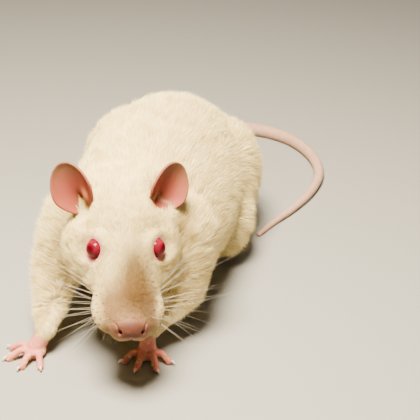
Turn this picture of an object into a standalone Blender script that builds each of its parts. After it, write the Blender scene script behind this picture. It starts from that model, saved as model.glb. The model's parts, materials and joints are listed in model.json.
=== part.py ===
"""A pet rat at life size: a white adult standing with its head low and turned to its left.

All sizes are in millimetres and are scaled to metres when a mesh is made. The rat faces -Y, its left
side is +X, and it stands on z = 0. The outline is that of the coat, so the skin lies a little inside.
"""

import math

import bmesh
import bpy
import numpy as np
from mathutils import Matrix, Vector
from mathutils.bvhtree import BVHTree

MM = 0.001

# Faces that meet keep this much air between them.
GAP = 0.3

# The head, which is placed by the point midway between the eyes and turned about it.
EYE_LEVEL = Vector((4.0, 0.0, 44.0))
HEAD_YAW = math.radians(19.0)
HEAD_PITCH = math.radians(24.0)
HEAD_ROLL = math.radians(2.5)

# The trunk, as rings across it: distance behind the eyes, half width, top, underside.
TRUNK = (
    (8.0, 15.0, 50.0, 26.0),
    (16.0, 22.5, 54.0, 19.0),
    (28.0, 27.0, 57.0, 12.0),
    (44.0, 29.5, 59.0, 8.0),
    (62.0, 31.0, 60.5, 6.0),
    (80.0, 31.5, 61.0, 5.0),
    (96.0, 31.5, 59.5, 5.0),
    (112.0, 30.0, 55.0, 5.5),
    (127.0, 26.5, 47.0, 7.0),
    (140.0, 20.0, 38.0, 9.5),
    (149.5, 12.5, 30.0, 13.0),
    (155.0, 6.0, 25.0, 17.0),
)
# A ring is narrower above its middle than below it by this share, and its lower half sags out squarer.
TRUNK_TAPER = 0.18
TRUNK_SAG = 0.78

# The neck: rounded masses under loose skin, each as its middle and its half sizes.
NECK_MASSES = (
    ("nape", (0.5, 22.0, 43.0), (20.5, 20.0, 19.5)),
    ("throat", (3.0, 14.0, 31.0), (14.0, 14.0, 12.0)),
)

# The snout, as rings across it in the head's own frame: forward of the eyes, half width, top, underside.
SNOUT = (
    (-10.0, 13.5, 9.0, -13.0),
    (-2.0, 12.6, 7.4, -13.6),
    (5.0, 11.6, 5.4, -14.0),
    (12.0, 10.8, 3.0, -14.0),
    (18.0, 9.8, 0.7, -13.8),
    (23.0, 8.2, -1.5, -12.9),
    (26.5, 6.5, -3.0, -11.6),
    (28.8, 5.0, -4.2, -10.4),
    (30.0, 3.2, -5.6, -9.0),
)
SNOUT_TAPER = 0.16

# The skull's other masses in the head's own frame, on its middle and as pairs.
HEAD_MASSES = (
    ("cranium", (-15.0, 0.0, -2.0), (20.0, 17.0, 12.6)),
    ("chin", (13.0, 0.0, -13.6), (9.5, 5.4, 4.2)),
    ("jaw", (-3.0, 0.0, -11.5), (14.0, 12.5, 8.5)),
    ("jowls", (3.0, 0.0, -8.5), (13.0, 14.2, 7.0)),
)
PAIRED_HEAD_MASSES = (
    ("cheek", (-7.0, 9.6, -8.0), (14.0, 10.2, 12.4)),
    ("whisker_pad", (17.5, 6.0, -8.8), (9.0, 5.8, 5.0)),
    ("upper_lip", (24.4, 3.0, -10.0), (4.8, 3.6, 2.8)),
    ("brow", (-1.0, 7.2, 0.0), (7.5, 4.2, 4.4)),
    ("eye_mound", (0.2, 8.3, 0.2), (5.2, 4.0, 4.9)),
    ("ear_mound", (-16.5, 11.0, 0.5), (6.5, 5.4, 5.6)),
)

# Eyes, in the head's own frame: forward, to its left, up. The lids stand round the opening.
EYE_PLACE = Vector((0.5, 9.7, 0.9))
EYE_RADIUS = 3.25
EYE_FACES = Vector((0.42, 0.76, 0.50))
LID_OPENING = 2.75
LID_THICKNESS = 0.5

# Nostrils: a slanted bore from the side of the nose inwards, as its two ends on the left side.
NOSTRIL = ((28.6, 3.8, -6.4), (26.0, 2.2, -6.6))
NOSTRIL_RADII = (0.85, 0.45)
NOSTRIL_FLATNESS = 0.7

# The cleft from the nose down to the mouth.
CLEFT_TOP = (30.2, 0.0, -7.6)
CLEFT_FOOT = (26.6, 0.0, -13.4)
CLEFT_RADIUS = 0.45

# The mouth: its line runs round under the snout, from one corner to the other.
MOUTH_BACK = 9.0
MOUTH_FRONT = 26.2
MOUTH_REACH = 7.6
MOUTH_LEVEL = -12.8
MOUTH_GROOVE = 0.6
MOUTH_POINTS = 13

# Ears: the root's middle, how far both are set to the rat's left, the blade's size, how much of it stands
# inside the head, how deep its cup is and how far its outer edge curls in, and how it points and faces.
EAR_ROOT = Vector((-13.0, 13.4, 4.5))
EAR_ASIDE = -0.9
EAR_HEIGHT = 20.0
EAR_SUNK = 3.6
EAR_WIDTH = 13.4
EAR_CUP = 5.2
EAR_CURL = 1.6
EAR_ROOT_SHARE = 0.62
EAR_WALL = 1.0
EAR_UP = Vector((-0.62, 0.42, 0.66))
EAR_FACES = Vector((0.80, 0.30, 0.45))

# Forelegs: where the middle of each palm stands and how far the foot is turned out, then its joints.
FOREFOOT = {"left": (Vector((11.5, 3.6, 0.0)), 12.0), "right": (Vector((-26.4, -4.2, 0.0)), -34.0)}
WRIST = {"left": Vector((10.8, 7.6, 8.4)), "right": Vector((-23.6, -0.6, 8.6))}
ELBOW = {"left": Vector((20.5, 22.0, 19.5)), "right": Vector((-24.6, 15.5, 22.0))}
SHOULDER = {"left": Vector((17.0, 28.0, 38.0)), "right": Vector((-17.5, 26.0, 39.0))}
UPPER_ARM_RADII = (13.0, 11.5, 8.0)
FOREARM_RADII = (8.0, 5.4, 3.9)
PALM = (3.9, 4.0, 2.5)
PALM_HEIGHT = 2.2
WRIST_RADII = (3.0, 2.7)

# Hind legs: where each heel stands and how far the foot is turned out, then the masses of the left leg.
HEEL = {"left": (Vector((23.5, 122.5, 0.0)), 0.0), "right": (Vector((-25.0, 107.0, 0.0)), -10.0)}
HIND_MASSES = (
    ("haunch", (19.5, 102.0, 25.0), (16.5, 30.0, 23.0)),
    ("knee", (26.0, 81.5, 17.5), (10.5, 16.0, 14.5)),
)
SHANK = ((24.5, 90.0, 18.0), (26.0, 98.0, 12.5))
SHANK_RADII = (8.0, 6.0, 4.2)
ANKLE_HEIGHT = 7.5
ANKLE_RADII = (2.8, 2.7)
SOLE = ((0.5, 3.2), (8.0, 2.9), (17.0, 2.6), (24.5, 2.3))
SOLE_RADII = (3.1, 3.3, 3.7, 4.4)
SOLE_FLATNESS = 0.72
TOES_START = 26.5

# Digits: turn from the foot's own direction, length, how far out across the foot it starts.
FORE_DIGITS = ((-60.0, 5.6, -2.9), (-20.0, 6.8, -1.3), (16.0, 6.8, 1.3), (56.0, 5.4, 2.9))
HIND_DIGITS = (
    (-30.0, 7.6, -3.9),
    (-12.0, 10.4, -2.1),
    (-1.0, 11.2, 0.0),
    (10.0, 10.4, 2.1),
    (30.0, 8.0, 3.9),
)
DIGIT_RADIUS = 1.2
KNUCKLE_RISE = 0.9
CLAW_LENGTH = 1.9
CLAW_RADIUS = 0.42

# How the skin is made: size of the voxels that melt it, passes that soften it, share of faces kept.
SKIN_VOXEL = 1.0
SKIN_SMOOTHING = 6
SKIN_SHARE_KEPT = 0.048
HEAD_SHARE = 0.95

# Where the body is parted: behind the eyes in the head's own frame, then along the body's length.
HEAD_BACK = -24.0
CHIN_LEVEL = 17.0
NECK_CUT = (0.0, 36.0, 40.0)
NECK_CUT_FACES = (0.0, -1.0, -0.25)
WAIST_CUT = (0.0, 80.0, 30.0)
WAIST_CUT_FACES = (0.0, -1.0, 0.0)
# The regions that part the legs from the trunk, both as on the left side.
ARM_REGION_OUT = 6.0
ARM_REGION_RADII = (12.0, 12.5, 10.5, 8.0, 8.0)
THIGH_REGION = ((29.0, 101.0, 18.0), (21.0, 36.0, 27.0))
# Half the side of a block that is larger than the whole rat.
FAR = 200.0

# The tail: its own line from inside the rump to its tip, how it thickens, and how far its round
# underside would sink into the floor, which makes it lie on a narrow flat.
TAIL_LINE = (
    (0.0, 143.0, 20.0),
    (-1.0, 156.0, 12.5),
    (-4.5, 171.0, 6.5),
    (-4.0, 188.0, 4.2),
    (7.0, 202.0, 3.8),
    (24.0, 207.0, 3.5),
    (41.0, 200.0, 3.2),
    (53.0, 184.0, 2.9),
    (58.0, 165.0, 2.7),
    (56.0, 146.0, 2.4),
    (50.0, 128.0, 2.1),
    (43.0, 113.0, 1.7),
    (38.0, 101.0, 1.2),
)
TAIL_ON_FLOOR = 10
TAIL_SINK = 0.15
TAIL_RADIUS = 4.4
TAIL_TIP_RADIUS = 0.9
TAIL_ROOT_SWELL = 5.0
TAIL_SWELL_REACH = 0.045
TAIL_SIDES = 12
TAIL_NODES = ("tail_root", "tail_upper", "tail_middle", "tail_lower", "tail_tip")

FINISHES = {
    "coat": ((0.86, 0.80, 0.68), 0.85),
    "pink_skin": ((0.80, 0.45, 0.40), 0.55),
    "eye": ((0.45, 0.02, 0.04), 0.08),
}


# Frames and finishes


def head_frame():
    """The head's own frame, from midway between the eyes: x forward along the skull, y to its left."""
    yaw = Matrix.Rotation(HEAD_YAW - math.pi / 2, 4, "Z")
    pitch = Matrix.Rotation(HEAD_PITCH, 4, "Y")
    roll = Matrix.Rotation(-HEAD_ROLL, 4, "X")
    return Matrix.Translation(EYE_LEVEL) @ yaw @ pitch @ roll


def finish(name):
    """One material for each finish, made the first time that it is asked for."""
    found = bpy.data.materials.get(name)
    if found:
        return found
    made = bpy.data.materials.new(name)
    made.use_nodes = True
    colour, roughness = FINISHES[name]
    shader = made.node_tree.nodes["Principled BSDF"]
    shader.inputs["Base Color"].default_value = (*colour, 1.0)
    shader.inputs["Roughness"].default_value = roughness
    shader.inputs["Metallic"].default_value = 0.0
    return made


# Meshes


def mesh_object(name, mesh, collection=None):
    made = bpy.data.objects.new(name, mesh)
    (collection or bpy.context.scene.collection).objects.link(made)
    return made


def from_bmesh(name, shape):
    """The finished object of a bmesh that was made in millimetres."""
    bmesh.ops.scale(shape, vec=(MM, MM, MM), verts=shape.verts)
    mesh = bpy.data.meshes.new(name)
    shape.to_mesh(mesh)
    shape.free()
    return mesh_object(name, mesh)


def loft(name, rings):
    """A closed skin over rings that all have as many points, with a fan of faces over each end."""
    shape = bmesh.new()
    rows = [[shape.verts.new(p) for p in ring] for ring in rings]
    count = len(rows[0])
    for low, high in zip(rows, rows[1:]):
        for i in range(count):
            j = (i + 1) % count
            shape.faces.new((low[i], low[j], high[j], high[i]))
    for row in (rows[0], rows[-1]):
        centre = shape.verts.new(sum((v.co for v in row), Vector()) / count)
        for i in range(count):
            shape.faces.new((row[i], row[(i + 1) % count], centre))
    bmesh.ops.recalc_face_normals(shape, faces=shape.faces)
    return from_bmesh(name, shape)


def ball(name, centre, radii, turn=None, segments=28):
    """An ellipsoid, turned by a matrix about its centre where one is given."""
    shape = bmesh.new()
    bmesh.ops.create_uvsphere(shape, u_segments=segments, v_segments=segments // 2, radius=1.0)
    place = Matrix.Translation(centre) @ (turn or Matrix()).to_4x4() @ Matrix.Diagonal((*radii, 1.0))
    bmesh.ops.transform(shape, matrix=place, verts=shape.verts)
    return from_bmesh(name, shape)


def smooth_line(points, steps):
    """A smooth curve through the points, as a Catmull-Rom spline read at this many steps a span."""
    p = np.array([tuple(v) for v in points], float)
    padded = np.vstack([2 * p[0] - p[1], p, 2 * p[-1] - p[-2]])
    line = []
    for i in range(1, len(padded) - 2):
        a, b, c, d = padded[i - 1 : i + 3]
        for t in np.linspace(0.0, 1.0, steps, endpoint=False):
            slope, bend, twist = c - a, 2 * a - 5 * b + 4 * c - d, 3 * b - a - 3 * c + d
            line.append(0.5 * (2 * b + slope * t + bend * t**2 + twist * t**3))
    line.append(p[-1])
    return [Vector(v.tolist()) for v in line]


def along(values, count):
    """Values spread evenly over this many points, read between them in straight lines."""
    return np.interp(np.linspace(0, 1, count), np.linspace(0, 1, len(values)), values).tolist()


def tube(name, points, radii, sides=8, flat=1.0, round_off=(0.7, 1.25)):
    """A tapered rod along a line, with its ends rounded off in steps and its height scaled by flat."""
    line = [Vector(p) for p in points]
    thick = along(radii, len(line))
    for end, neighbour in ((0, 1), (-1, -2)):
        outward = (line[end] - line[neighbour]).normalized()
        tip, radius = line[end].copy(), thick[end]
        for a in round_off:
            at = 0 if end == 0 else len(line)
            line.insert(at, tip + outward * radius * math.sin(a))
            thick.insert(at, radius * math.cos(a))
    return loft(name, rings_along(line, thick, sides, flat))


def rings_along(line, thick, sides, flat=1.0):
    """A ring of points round each point of the line, none twisted against the one before."""
    rings = []
    start = (line[1] - line[0]).cross(Vector((0, 0, 1)))
    side = start if start.length > 0.1 * (line[1] - line[0]).length else Vector((1, 0, 0))
    for i, place in enumerate(line):
        tangent = (line[min(i + 1, len(line) - 1)] - line[max(i - 1, 0)]).normalized()
        side = (side - tangent * side.dot(tangent)).normalized()
        up = tangent.cross(side)
        ring = []
        for k in range(sides):
            a = 2 * math.pi * k / sides
            ring.append(place + thick[i] * (side * math.cos(a) + up * math.sin(a) * flat))
        rings.append(ring)
    return rings


# Joining and cutting


def remove(obj):
    mesh = obj.data
    bpy.data.objects.remove(obj)
    if mesh.users == 0:
        bpy.data.meshes.remove(mesh)


def applied(obj):
    """The object with its modifiers made part of its mesh."""
    graph = bpy.context.evaluated_depsgraph_get()
    mesh = bpy.data.meshes.new_from_object(obj.evaluated_get(graph))
    old = obj.data
    obj.modifiers.clear()
    obj.data = mesh
    bpy.data.meshes.remove(old)
    return obj


def boolean(obj, other, operation):
    """Cuts or joins obj with another object, which is then removed."""
    step = obj.modifiers.new(operation, "BOOLEAN")
    step.operation, step.solver, step.object = operation, "EXACT", other
    applied(obj)
    remove(other)
    return obj


def union(name, pieces):
    """One object of pieces that overlap."""
    group = bpy.data.collections.new(name + "_pieces")
    first, rest = pieces[0], pieces[1:]
    for piece in rest:
        group.objects.link(piece)
    step = first.modifiers.new("union", "BOOLEAN")
    step.operation, step.solver = "UNION", "EXACT"
    step.operand_type, step.collection = "COLLECTION", group
    applied(first)
    for piece in rest:
        remove(piece)
    bpy.data.collections.remove(group)
    first.name = name
    return keep_largest(first)


def keep_largest(obj):
    """Keeps the largest closed surface. Scraps that only touch it along an edge are dropped too."""
    shape = bmesh.new()
    shape.from_mesh(obj.data)
    left, groups = set(shape.faces), []
    while left:
        stack, group = [left.pop()], []
        while stack:
            face = stack.pop()
            group.append(face)
            for edge in face.edges:
                for other in edge.link_faces if len(edge.link_faces) == 2 else ():
                    if other in left:
                        left.remove(other)
                        stack.append(other)
        groups.append(group)
    groups.sort(key=lambda group: sum(face.calc_area() for face in group))
    scraps = [face for group in groups[:-1] for face in group]
    bmesh.ops.delete(shape, geom=scraps, context="FACES")
    shape.to_mesh(obj.data)
    shape.free()
    return obj


def melt(name, pieces, voxel, smoothing):
    """One skin over overlapping pieces, with the creases between them softened."""
    shape = bmesh.new()
    for piece in pieces:
        shape.from_mesh(piece.data)
        remove(piece)
    mesh = bpy.data.meshes.new(name)
    shape.to_mesh(mesh)
    shape.free()
    made = mesh_object(name, mesh)
    remesh = made.modifiers.new("remesh", "REMESH")
    remesh.mode, remesh.voxel_size = "VOXEL", voxel * MM
    soften = made.modifiers.new("soften", "SMOOTH")
    soften.factor, soften.iterations = 0.5, smoothing
    return applied(made)


def block(name, centre, size, turn=None):
    """A box of this size round its middle, turned by a matrix where one is given."""
    shape = bmesh.new()
    bmesh.ops.create_cube(shape, size=1.0)
    place = Matrix.Translation(centre) @ (turn or Matrix()).to_4x4() @ Matrix.Diagonal((*size, 1.0))
    bmesh.ops.transform(shape, matrix=place, verts=shape.verts)
    return from_bmesh(name, shape)


def copy_of(obj, name):
    return mesh_object(name, obj.data.copy())


def grown(obj, name, by):
    """A copy whose surface lies this much further out."""
    made = copy_of(obj, name)
    step = made.modifiers.new("grow", "DISPLACE")
    step.strength, step.mid_level = by * MM, 0.0
    return applied(made)


# The trunk and limbs


def trunk():
    """The trunk from the base of the neck to the root of the tail, narrower above than below."""
    rings = []
    sides = 32
    uppers = smooth_line([(y, w, top) for y, w, top, under in TRUNK], 3)
    unders = smooth_line([(y, w, under) for y, w, top, under in TRUNK], 3)
    for (y, w, top), (y, w, under) in zip(uppers, unders):
        middle, half = (top + under) / 2, (top - under) / 2
        ring = []
        for k in range(sides):
            a = 2 * math.pi * k / sides
            out, rise = math.sin(a), math.cos(a)
            if rise < 0:
                out = math.copysign(abs(out) ** TRUNK_SAG, out)
            ring.append(Vector((w * out * (1 - TRUNK_TAPER * rise), y, middle + half * rise)))
        rings.append(ring)
    return loft("trunk", rings)


def foreleg(side):
    """The shoulder, upper arm and forearm of one foreleg, down to the wrist."""
    shoulder, elbow, wrist = SHOULDER[side], ELBOW[side], WRIST[side]
    upper = smooth_line((shoulder, shoulder.lerp(elbow, 0.5), elbow), 3)
    lower = smooth_line((elbow, elbow.lerp(wrist, 0.5), wrist), 3)
    return [tube("upper_arm", upper, UPPER_ARM_RADII, 16), tube("forearm", lower, FOREARM_RADII, 14)]


def mirrored(place, mirror):
    """A place given for the left side, on the side that mirror says: 1 for left, -1 for right."""
    return Vector((place[0] * mirror, place[1], place[2]))


def hind_leg(side):
    """The haunch, knee and shank of one hind leg, down to the heel."""
    mirror = 1 if side == "left" else -1
    heel, turn = HEEL[side]
    pieces = [ball(name, mirrored(centre, mirror), radii) for name, centre, radii in HIND_MASSES]
    line = [mirrored(place, mirror) for place in SHANK]
    line.append(heel + Vector((-1.5 * mirror, -3.0, ANKLE_HEIGHT)))
    return pieces + [tube("shank", smooth_line(line, 3), SHANK_RADII, 14)]


# The head


def snout():
    """The face from the brow to the nose, as a loft of rings, narrower above than below."""
    sides = 24
    rings = []
    for forward, w, top, under in SNOUT:
        middle, half = (top + under) / 2, (top - under) / 2
        ring = []
        for k in range(sides):
            a = 2 * math.pi * k / sides
            across = w * math.sin(a) * (1 - SNOUT_TAPER * math.cos(a))
            ring.append(Vector((forward, across, middle + half * math.cos(a))))
        rings.append(ring)
    return loft("snout", rings)


def head_flesh():
    """The skull and the muscle, pads and jaw on it, placed by the head's frame."""
    pieces = [snout()] + [ball(name, centre, radii) for name, centre, radii in HEAD_MASSES]
    for name, (forward, out, up), radii in PAIRED_HEAD_MASSES:
        pieces += [ball(name, (forward, out * mirror, up), radii) for mirror in (1, -1)]
    for piece in pieces:
        piece.data.transform(in_metres(head_frame()))
    return pieces


def in_metres(matrix):
    """The same turn and shift for a mesh that is already in metres."""
    made = matrix.copy()
    made.translation = made.translation * MM
    return made


def eye_frame(mirror):
    """The eye's own frame: z out of the eye, from the middle of the eyeball."""
    facing = Vector((EYE_FACES.x, EYE_FACES.y * mirror, EYE_FACES.z)).normalized()
    turn = facing.to_track_quat("Z", "Y").to_matrix().to_4x4()
    centre = Vector((EYE_PLACE.x, EYE_PLACE.y * mirror, EYE_PLACE.z))
    return head_frame() @ Matrix.Translation(centre) @ turn


def lid_ring(mirror):
    """The rounded rim of the lids, which lies on the eyeball round its opening."""
    radius = LID_OPENING + LID_THICKNESS
    lift = math.sqrt((EYE_RADIUS + GAP) ** 2 - 0.8 * radius**2)
    bpy.ops.mesh.primitive_torus_add(
        major_segments=22, minor_segments=6, major_radius=radius, minor_radius=LID_THICKNESS
    )
    lid = bpy.context.object
    lid.name = "lid"
    lid.data.transform(Matrix.Scale(MM, 4) @ eye_frame(mirror) @ Matrix.Translation((0, 0, lift)))
    return lid


def eyeball(name, mirror, extra=0.0, segments=18):
    centre = eye_frame(mirror).translation
    return ball(name, centre, [EYE_RADIUS + extra] * 3, segments=segments)


def nostril(mirror):
    """A short slanted bore into the side of the nose."""
    ends = [head_frame() @ Vector((forward, out * mirror, up)) for forward, out, up in NOSTRIL]
    return tube("nostril", ends, NOSTRIL_RADII, 8, NOSTRIL_FLATNESS)


def mouth_line(head):
    """A thin bent rod that lies on the surface and cuts the line of the mouth between snout and chin."""
    surface = BVHTree.FromObject(head, bpy.context.evaluated_depsgraph_get())
    frame = head_frame()
    points = []
    for k in range(MOUTH_POINTS):
        a = math.pi * (k / (MOUTH_POINTS - 1) - 0.5)
        forward = MOUTH_BACK + (MOUTH_FRONT - MOUTH_BACK) * math.cos(a)
        nominal = frame @ Vector((forward, MOUTH_REACH * math.sin(a), MOUTH_LEVEL))
        points.append(surface.find_nearest(nominal * MM)[0] / MM)
    corner = MOUTH_GROOVE * 0.6
    return tube("mouth", points, (corner, MOUTH_GROOVE, MOUTH_GROOVE, corner), 6)


def lip_cleft():
    """The short upright cleft from the nose down to the mouth."""
    frame = head_frame()
    ends = (frame @ Vector(CLEFT_TOP), frame @ Vector(CLEFT_FOOT))
    return tube("cleft", ends, (CLEFT_RADIUS, CLEFT_RADIUS), 6)


# The ears


def ear_place(x, y):
    """A point of the unit disc, taken to the ear's cupped blade: across it, out of its face, up it."""
    height = (y + 1) / 2
    width = EAR_ROOT_SHARE + (1 - EAR_ROOT_SHARE) * min(1.0, height / 0.45) ** 0.8
    cup = EAR_CUP * (1 - x * x) * (1.15 - 0.75 * height)
    curl = EAR_CURL * max(-x, 0) ** 3 * (1 - height)
    return (EAR_WIDTH / 2 * x * width, curl - cup, EAR_HEIGHT * height - EAR_SUNK)


def ear(name, mirror):
    """A thin cupped blade, rounded above and narrow at the root, which stands in the side of the head."""
    shape = bmesh.new()
    around, rings = 24, 5
    rows = [[shape.verts.new((0, 0, 0))]]
    for i in range(1, rings + 1):
        reach = math.sin(0.5 * math.pi * i / rings)
        turns = (2 * math.pi * k / around for k in range(around))
        rows.append([shape.verts.new((reach * math.cos(a), reach * math.sin(a), 0)) for a in turns])
    for k in range(around):
        j = (k + 1) % around
        shape.faces.new((rows[0][0], rows[1][k], rows[1][j]))
        for low, high in zip(rows[1:], rows[2:]):
            shape.faces.new((low[k], high[k], high[j], low[j]))
    for vert in shape.verts:
        vert.co = ear_place(vert.co.x, vert.co.y)
    made = from_bmesh(name, shape)
    wall = made.modifiers.new("wall", "SOLIDIFY")
    wall.thickness, wall.offset = EAR_WALL * MM, 0.0
    applied(made)
    up = Vector((EAR_UP.x, EAR_UP.y * mirror, EAR_UP.z)).normalized()
    facing = Vector((EAR_FACES.x, EAR_FACES.y * mirror, EAR_FACES.z))
    facing = (facing - up * facing.dot(up)).normalized()
    turn = Matrix((facing.cross(up) * mirror, facing, up)).transposed().to_4x4()
    root = Vector((EAR_ROOT.x, EAR_ROOT.y * mirror + EAR_ASIDE, EAR_ROOT.z))
    made.data.transform(in_metres(head_frame() @ Matrix.Translation(root) @ turn))
    if mirror < 0:
        made.data.flip_normals()
    return made


# Feet


def raised(place, by):
    return Vector((place[0], place[1], place[2] + by))


def digit(root, direction, length):
    """One toe: up over its knuckle and down onto its pad, with a claw."""
    way = Vector((direction.x, direction.y, 0)).normalized()
    ground = DIGIT_RADIUS * 0.86
    tip = root + way * length
    tip.z = ground
    knuckle = root + way * length * 0.72
    knuckle.z = ground + KNUCKLE_RISE
    line = (root, raised(root + way * length * 0.38, KNUCKLE_RISE), knuckle, tip)
    thick = (DIGIT_RADIUS * 1.15, DIGIT_RADIUS, DIGIT_RADIUS * 0.92, DIGIT_RADIUS)
    toe = tube("toe", smooth_line(line, 2), thick, 7, round_off=(0.9,))
    start = raised(tip + way * DIGIT_RADIUS * 0.55, 0.35)
    middle, end = start + way * CLAW_LENGTH * 0.55, start + way * CLAW_LENGTH
    hook = (start, raised(middle, 0.1), raised(end, -0.45))
    claw = tube("claw", hook, (CLAW_RADIUS, CLAW_RADIUS * 0.8, CLAW_RADIUS * 0.35), 5, round_off=())
    return [toe, claw]


def heading_of(turn):
    """The ways ahead and to the left of a foot that is turned from straight ahead by this many degrees."""
    heading = Matrix.Rotation(math.radians(turn), 3, "Z")
    return heading @ Vector((0, -1, 0)), heading @ Vector((1, 0, 0))


def forefoot(side):
    """The palm, four toes and their claws."""
    centre, turn = FOREFOOT[side]
    ahead, left = heading_of(turn)
    heading = Matrix.Rotation(math.radians(turn), 3, "Z")
    pieces = [ball("palm", raised(centre, PALM_HEIGHT), PALM, heading, 16)]
    pieces.append(tube("wrist", (raised(centre, 3.0), WRIST[side]), WRIST_RADII, 10, round_off=()))
    for angle, length, out in FORE_DIGITS:
        way = Matrix.Rotation(math.radians(angle), 3, "Z") @ ahead
        root = centre + left * out + ahead * (2.2 - 0.18 * out * out)
        pieces += digit(raised(root, PALM_HEIGHT), way, length)
    return pieces


def hindfoot(side):
    """The long sole, five toes and their claws."""
    heel, turn = HEEL[side]
    ahead, left = heading_of(turn)
    places = [raised(heel + ahead * forward, height) for forward, height in SOLE]
    pieces = [tube("sole", smooth_line(places, 2), SOLE_RADII, 12, SOLE_FLATNESS)]
    ankle = heel + ahead * 3.0
    ends = (raised(ankle, 3.0), raised(ankle, ANKLE_HEIGHT))
    pieces.append(tube("ankle", ends, ANKLE_RADII, 10, round_off=()))
    for angle, length, out in HIND_DIGITS:
        way = Matrix.Rotation(math.radians(angle), 3, "Z") @ ahead
        root = heel + ahead * (TOES_START - 0.22 * out * out) + left * out
        pieces += digit(raised(root, 2.1), way, length)
    return pieces


# The tail


def tail_pieces():
    """The tail in lengths that meet end to end: thick at its root, tapered, and laid on the floor."""
    line = smooth_line(TAIL_LINE, 4)
    last_ring = len(line) - 1
    radii = []
    for i in range(len(line)):
        t = i / last_ring
        swell = TAIL_ROOT_SWELL * math.exp(-t / TAIL_SWELL_REACH)
        radii.append(TAIL_TIP_RADIUS + (TAIL_RADIUS - TAIL_TIP_RADIUS) * (1 - t) ** 0.85 + swell)
    for place, radius in zip(line[TAIL_ON_FLOOR:], radii[TAIL_ON_FLOOR:]):
        place.z = radius - TAIL_SINK
    rings = rings_along(line, radii, TAIL_SIDES)
    rings = [[Vector((p.x, p.y, max(p.z, 0.0))) for p in ring] for ring in rings]
    made = []
    count = len(TAIL_NODES)
    ends = [round(i * last_ring / count) for i in range(count + 1)]
    for name, first, last in zip(TAIL_NODES, ends, ends[1:]):
        length = [[p.copy() for p in ring] for ring in rings[first : last + 1]]
        if last < last_ring:
            back = (line[last] - line[last - 1]).normalized() * GAP
            length[-1] = [Vector((p.x - back.x, p.y - back.y, p.z)) for p in length[-1]]
        made.append(loft(name, length))
    return made


# Parting the body into its named pieces


def leg_region(side):
    """The closed shape round one foreleg, which parts it from the shoulder down."""
    mirror = 1 if side == "left" else -1
    out = Vector((ARM_REGION_OUT * mirror, 0, 0))
    below = raised(WRIST[side], -12.0)
    line = (SHOULDER[side] + out + Vector((0, 6, 2)), ELBOW[side] + out * 0.7, WRIST[side], below)
    return tube("region", smooth_line(line, 3), ARM_REGION_RADII, 16)


def thigh_region(side):
    """The closed shape round one haunch and shank."""
    centre, radii = THIGH_REGION
    return ball("region", mirrored(centre, 1 if side == "left" else -1), radii, segments=24)


def take(body, region, name):
    """Moves what lies in the region out of the body, as a piece of its own with a gap round it."""
    piece = copy_of(body, name)
    wider = grown(region, "wider", GAP)
    boolean(piece, region, "INTERSECT")
    boolean(body, wider, "DIFFERENCE")
    keep_largest(body)
    return keep_largest(piece)


def part_across(body, place, normal, name):
    """Cuts the body on a plane and returns what lies ahead of it, with a gap between the two."""
    ahead = copy_of(body, name)
    normal = Vector(normal).normalized()
    turn = normal.to_track_quat("Z", "Y").to_matrix()
    for obj, way in ((ahead, -1), (body, 1)):
        centre = Vector(place) + normal * way * (FAR - GAP / 2)
        boolean(obj, block("half", centre, (2 * FAR, 2 * FAR, 2 * FAR), turn), "DIFFERENCE")
        keep_largest(obj)
    return ahead


def flatten(obj):
    """Cuts off what lies below the floor, which leaves small flats to stand on."""
    below = block("below", Vector((0, 0, -FAR)), (2 * FAR, 4 * FAR, 2 * FAR))
    return boolean(obj, below, "DIFFERENCE")


def body_pieces():
    """The flesh, melted into one skin, thinned out and parted where its pieces meet."""
    pieces = [trunk()] + head_flesh()
    pieces += [ball(name, centre, radii) for name, centre, radii in NECK_MASSES]
    for side in ("left", "right"):
        pieces += foreleg(side) + hind_leg(side)
    flesh = melt("hindquarters", pieces, SKIN_VOXEL, SKIN_SMOOTHING)
    frame = head_frame()
    from_head = frame.inverted()
    group = flesh.vertex_groups.new(name="plain")
    for vert in flesh.data.vertices:
        place = vert.co / MM
        is_head = (from_head @ place).x > HEAD_BACK and place.z > CHIN_LEVEL
        group.add([vert.index], HEAD_SHARE if is_head else 1.0, "REPLACE")
    step = flesh.modifiers.new("thin out", "DECIMATE")
    step.ratio, step.vertex_group = SKIN_SHARE_KEPT, "plain"
    applied(flesh)
    ahead = (frame.to_3x3() @ Vector((1, 0, 0))).normalized()
    made = []
    for side in ("left", "right"):
        made.append(take(flesh, leg_region(side), "foreleg_" + side))
        made.append(take(flesh, thigh_region(side), "thigh_" + side))
    made.append(part_across(flesh, frame @ Vector((HEAD_BACK, 0, 0)), ahead, "head"))
    made.append(part_across(flesh, NECK_CUT, NECK_CUT_FACES, "neck"))
    made.append(part_across(flesh, WAIST_CUT, WAIST_CUT_FACES, "torso"))
    return {obj.name: obj for obj in made + [flesh]}


def dress_head(head):
    """Adds the lids to the head and cuts the sockets, nostrils, mouth and cleft."""
    head = union("head", [head] + [lid_ring(mirror) for mirror in (1, -1)])
    for mirror in (1, -1):
        boolean(head, eyeball("socket", mirror, GAP), "DIFFERENCE")
        boolean(head, nostril(mirror), "DIFFERENCE")
    boolean(head, mouth_line(head), "DIFFERENCE")
    boolean(head, lip_cleft(), "DIFFERENCE")
    return keep_largest(head)


def clear_of(obj, other):
    """Cuts the object back from another one by the gap."""
    boolean(obj, grown(other, "clearance", GAP), "DIFFERENCE")
    return keep_largest(obj)


def stand_on_origin(objects):
    """Sets the middle of the whole model's box over the origin, with the soles at its level."""
    corners = np.array([tuple(v.co) for obj in objects for v in obj.data.vertices])
    low, high = corners.min(axis=0), corners.max(axis=0)
    shift = Matrix.Translation((-(low[0] + high[0]) / 2, -(low[1] + high[1]) / 2, -low[2]))
    for obj in objects:
        obj.data.transform(shift)


def finish_of(name):
    if name.startswith("eye"):
        return finish("eye")
    if name.startswith(("ear", "forefoot", "hindfoot", "tail")):
        return finish("pink_skin")
    return finish("coat")


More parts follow.
